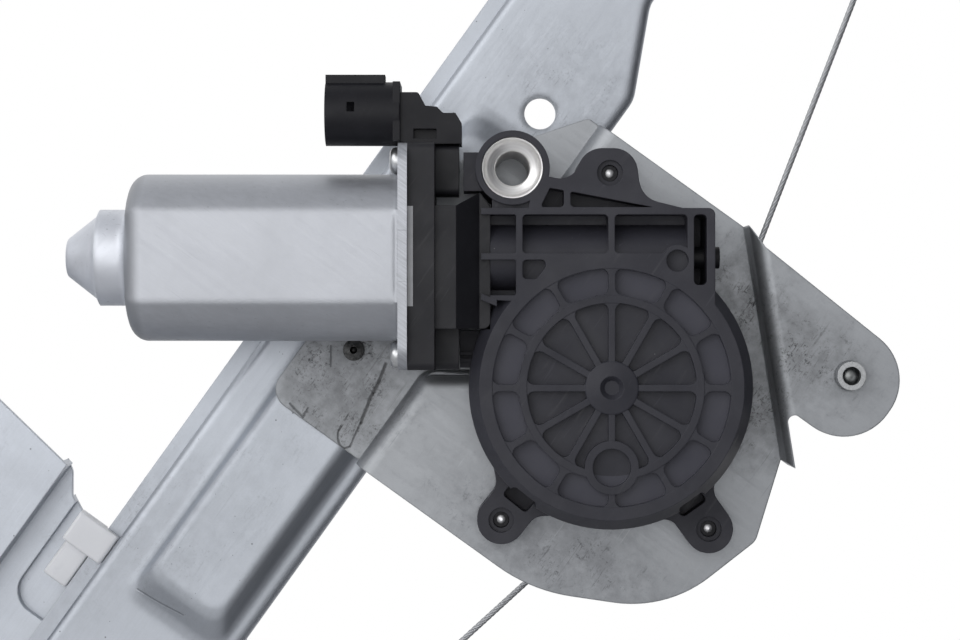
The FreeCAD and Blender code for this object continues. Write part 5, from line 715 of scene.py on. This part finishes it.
def spun(name, centre, profile, closed=False):
    """A mesh turned round the Y axis through a point, from a profile of (radius, y) in metres.

    Its ends are capped, or joined to each other where the profile is closed.
    """
    sides = SPUN_SIDES
    vertices = []
    faces = []
    for radius, depth in profile:
        for k in range(sides):
            turn = 2 * math.pi * k / sides
            vertices.append((centre.x + radius * math.cos(turn), depth, centre.z + radius * math.sin(turn)))
    rows = len(profile)
    for i in range(rows if closed else rows - 1):
        start = i * sides
        after = (i + 1) % rows * sides
        for k in range(sides):
            beside = (k + 1) % sides
            faces.append((start + k, start + beside, after + beside, after + k))
    if not closed:
        last = (rows - 1) * sides
        faces.append(tuple(reversed(range(sides))))
        faces.append(tuple(range(last, last + sides)))
    mesh = bpy.data.meshes.new(name)
    mesh.from_pydata(vertices, [], faces)
    mesh.polygons.foreach_set("use_smooth", [True] * len(mesh.polygons))
    return mesh


def sunk(profile, front):
    """A profile of (radius, depth behind a front) in millimetres as one of (radius, y) in metres."""
    return [(radius * MM, front + depth * MM) for radius, depth in profile]


BUSH_BORE = 3.9 * MM
BUSH_WALL = 2 * MM
BUSH_EDGE = 0.2 * MM
DISH_DEPTH = 2.4 * MM
# Half section of the bush's dish: radius and depth behind its rim, in millimetres
DISH = [
    (6.80, 0.00),
    (6.55, 0.20),
    (6.30, 0.62),
    (6.05, 1.02),
    (5.70, 1.35),
    (5.20, 1.66),
    (4.70, 1.92),
    (4.25, 2.14),
    (4.02, 2.28),
    (3.90, 2.52),
]


def add_bush():
    """The sleeve with its smooth dish, standing for the plainer one of the frame."""
    low, high = (Vector(corner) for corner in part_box("mounting_bush"))
    centre = (low + high) / 2
    wide = (high.x - low.x) / 2
    inner = wide - BUSH_WALL
    profile = [(BUSH_BORE, high.y), (inner, high.y), (inner, low.y + 2 * DISH_DEPTH)]
    profile += [(wide, low.y + DISH_DEPTH), (wide, low.y + BUSH_EDGE)]
    profile += sunk(DISH, low.y)
    sleeve = spun("dished_bush", centre, profile, closed=True)
    new_piece("dished_bush", sleeve, dished_ring((0.93, 0.92, 0.91), centre), "frame", "mounting_bush")


# Tips of what is seen in the rivets and in the stud: radius and depth behind the front, in millimetres
RIVET_CORE_TIP = [(0.1, 0.6), (0.528, 0.7), (0.88, 1.0)]
RIVET_CORE_END = 0.2 * MM
STUD_TIP = [(0.1, 2.6), (1.04, 2.7), (2.08, 3.1)]
STUD_END = 0.1 * MM


def add_core(name, centre, tip, front, back, material):
    """A round core with a domed tip, running back to a depth."""
    profile = sunk(tip, front)
    profile.append((profile[-1][0], back))
    new_piece(name, spun(name, centre, profile), material, "frame")


def add_cores():
    """Dark cores in the hollow rivets, standing in for the shade in their holes, and the closed end inside
    the arm's stud.
    """
    # The rivets' cores are painted shade: dark pieces put in holes that are only in shade
    dark_stain_and_shade = plated_metal("rivet_shade_dark", (0.05, 0.05, 0.05), 0.45, (1.5, 1.5, 1.5), streak=0.6)
    low, high = (Vector(corner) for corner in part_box("plate_rivets"))
    wide = (high.x - low.x) / 2
    for number, height in enumerate((high.z - wide, low.z + wide), start=1):
        centre = Vector((low.x + wide, 0, height))
        add_core(f"rivet_shade_plug_{number}", centre, RIVET_CORE_TIP, low.y, high.y - RIVET_CORE_END, dark_stain_and_shade)
    dull = plated_metal("stud_end", (0.30, 0.31, 0.31), 0.32, (1.2, 1.2, 1.2), streak=0.5)
    low, high = (Vector(corner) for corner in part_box("arm_stud"))
    add_core("stud_end", (low + high) / 2, STUD_TIP, low.y, high.y - STUD_END, dull)


# A rim of the can's flange in millimetres: across from the disc's middle, up and out from the motor's axis
RIM_ACROSS = (-48.08, -46.02)
RIM_UP = (-6.6, 6.6)
RIM_OUT = (15.3, 16.58)
BOX_FACES = ((0, 1, 3, 2), (4, 6, 7, 5), (0, 4, 5, 1), (2, 3, 7, 6), (0, 2, 6, 4), (1, 5, 7, 3))


def add_flange_rims(material):
    """The flange's edge in front of and behind the can's hollow."""
    axis = middle("armature_shaft")
    rise = (axis - GEAR_MIDDLE).dot(PHOTO_UP)
    start = Vector((GEAR_MIDDLE.x, axis.y, GEAR_MIDDLE.z)) + PHOTO_UP * rise
    corners = []
    faces = []
    for side in (1, -1):
        first = len(corners)
        for across in RIM_ACROSS:
            for up in RIM_UP:
                for out in RIM_OUT:
                    step = PHOTO_RIGHT * across + PHOTO_UP * up + TOWARDS_CAMERA * out * side
                    corners.append(start + step * MM)
        for face in BOX_FACES:
            faces.append([first + k for k in face])
    mesh = bpy.data.meshes.new("flange_rims")
    mesh.from_pydata(corners, [], faces)
    new_piece("flange_rims", mesh, material, "frame")


SLIDER_ROUND = 0.7 * MM
SLIDER_STEPS = 3
SLIDER_SHARP = math.radians(50)


def soften_sliders():
    """Rounds the corners of the moulded sliders."""
    modifiers = nodes["slider_clips"].modifiers
    modifiers.new("joined_faces", "WELD")
    rounding = modifiers.new("moulded_corners", "BEVEL")
    rounding.width = SLIDER_ROUND
    rounding.segments = SLIDER_STEPS
    rounding.limit_method = "ANGLE"
    rounding.angle_limit = SLIDER_SHARP


def add_camera():
    """The photograph's camera, square to the rail's face."""
    data = bpy.data.cameras.new("photo_camera")
    data.lens = LENS
    data.sensor_width = SENSOR
    data.clip_start = CLIP_START
    camera = bpy.data.objects.new("photo_camera", data)
    turn = Matrix((PHOTO_RIGHT, PHOTO_UP, TOWARDS_CAMERA)).transposed()
    camera.matrix_world = Matrix.Translation(CAMERA_PLACE) @ turn.to_4x4()
    bpy.context.scene.collection.objects.link(camera)
    bpy.context.scene.camera = camera


# Lamps: place to the right, up and near from the middle of the view and size in metres, and watts
LAMPS = (
    ("key", (-0.75, 0.50, 0.75), (1.1, 0.9), 4.2),
    ("front", (-0.2, 0.15, 1.3), (1.4, 1.0), 2.4),
    ("near_lens", (-0.05, 0.08, 1.3), (0.45, 0.35), 0.9),
)


def add_lamps():
    """Soft lamps that all point at the middle of the view."""
    for name, place, size, power in LAMPS:
        data = bpy.data.lights.new(name, "AREA")
        data.shape = "RECTANGLE"
        data.size, data.size_y = size
        data.energy = power
        lamp = bpy.data.objects.new(name, data)
        lamp.location = in_view(*place)
        lamp.rotation_euler = (VIEW_CENTRE - in_view(*place)).to_track_quat("-Z", "Y").to_euler()
        bpy.context.scene.collection.objects.link(lamp)


# The side of the room that is lit, and what the world shows
LIT_SIDE = PHOTO_UP * 0.34 - PHOTO_RIGHT * 0.94
WHITE = (1, 1, 1)
SOFT_DARK = (0.24, 0.245, 0.26)
SOFT_LIGHT = (0.66, 0.67, 0.69)
MIRRORED_DARK = (0.05, 0.053, 0.06)
MIRRORED_LIGHT = (0.62, 0.63, 0.65)
MIRRORED_FRONT = (0.90, 0.90, 0.90)


def add_world():
    """White where it is seen directly, a soft room in reflections and a gentle light elsewhere."""
    world = bpy.data.worlds.new("studio")
    bpy.context.scene.world = world
    world.use_nodes = True
    sky = Tree(world.node_tree)
    sky.tree.nodes.clear()
    place = sky.node("ShaderNodeTexCoord").outputs["Generated"]

    def facing(direction, low, high):
        """0 to 1 as a ray turns from one share of a direction to another."""
        share = sky.vector("DOT_PRODUCT", place, Vector(direction).normalized(), output="Value")
        return sky.between(share, low, high, "SMOOTHSTEP")

    side = sky.mix(facing(LIT_SIDE, -0.8, 0.8), MIRRORED_DARK, MIRRORED_LIGHT)
    front = sky.mix(facing(TOWARDS_CAMERA + LIT_SIDE * 0.5, 0.60, 1.0), side, MIRRORED_FRONT)
    mirrored = sky.mix(facing(-TOWARDS_CAMERA, 0.2, 0.7), front, WHITE)
    soft = sky.mix(facing(LIT_SIDE, -1.0, 1.0), SOFT_DARK, SOFT_LIGHT)
    path = sky.node("ShaderNodeLightPath")
    seen = sky.math("MAXIMUM", path.outputs["Is Camera Ray"], path.outputs["Is Transmission Ray"])
    room = sky.mix(path.outputs["Is Glossy Ray"], soft, mirrored)
    background = sky.node("ShaderNodeBackground")
    sky.feed(background.inputs["Color"], sky.mix(seen, room, WHITE))
    background.inputs["Strength"].default_value = 1.0
    out = sky.node("ShaderNodeOutputWorld")
    sky.feed(out.inputs["Surface"], background.outputs["Background"])


FLOOR_DROP = 60 * MM
FLOOR_HALF = 0.9


def add_floor():
    """A pale floor under the held part."""
    low = cad_box[0][2] - FLOOR_DROP
    half = FLOOR_HALF
    corners = [(-half, -half, low), (half, -half, low), (half, half, low), (-half, half, low)]
    mesh = bpy.data.meshes.new("floor")
    mesh.from_pydata(corners, [], [(0, 1, 2, 3)])
    floor = bpy.data.objects.new("floor", mesh)
    bpy.context.scene.collection.objects.link(floor)
    paint = Shader("floor_paint", roughness=0.9)
    paint.set("Base Color", paint.mix(paint.noise(0.004, 3.0), (0.80, 0.80, 0.80), (0.86, 0.86, 0.86)))
    mesh.materials.append(paint.done(1.0))


def main():
    dress_nodes()
    add_ropes()
    add_bush()
    add_cores()
    add_flange_rims(nodes["motor_can"].data.materials[0])
    soften_sliders()
    add_camera()
    add_world()
    add_lamps()
    add_floor()
    bpy.context.scene.view_settings.view_transform = "Standard"


main()
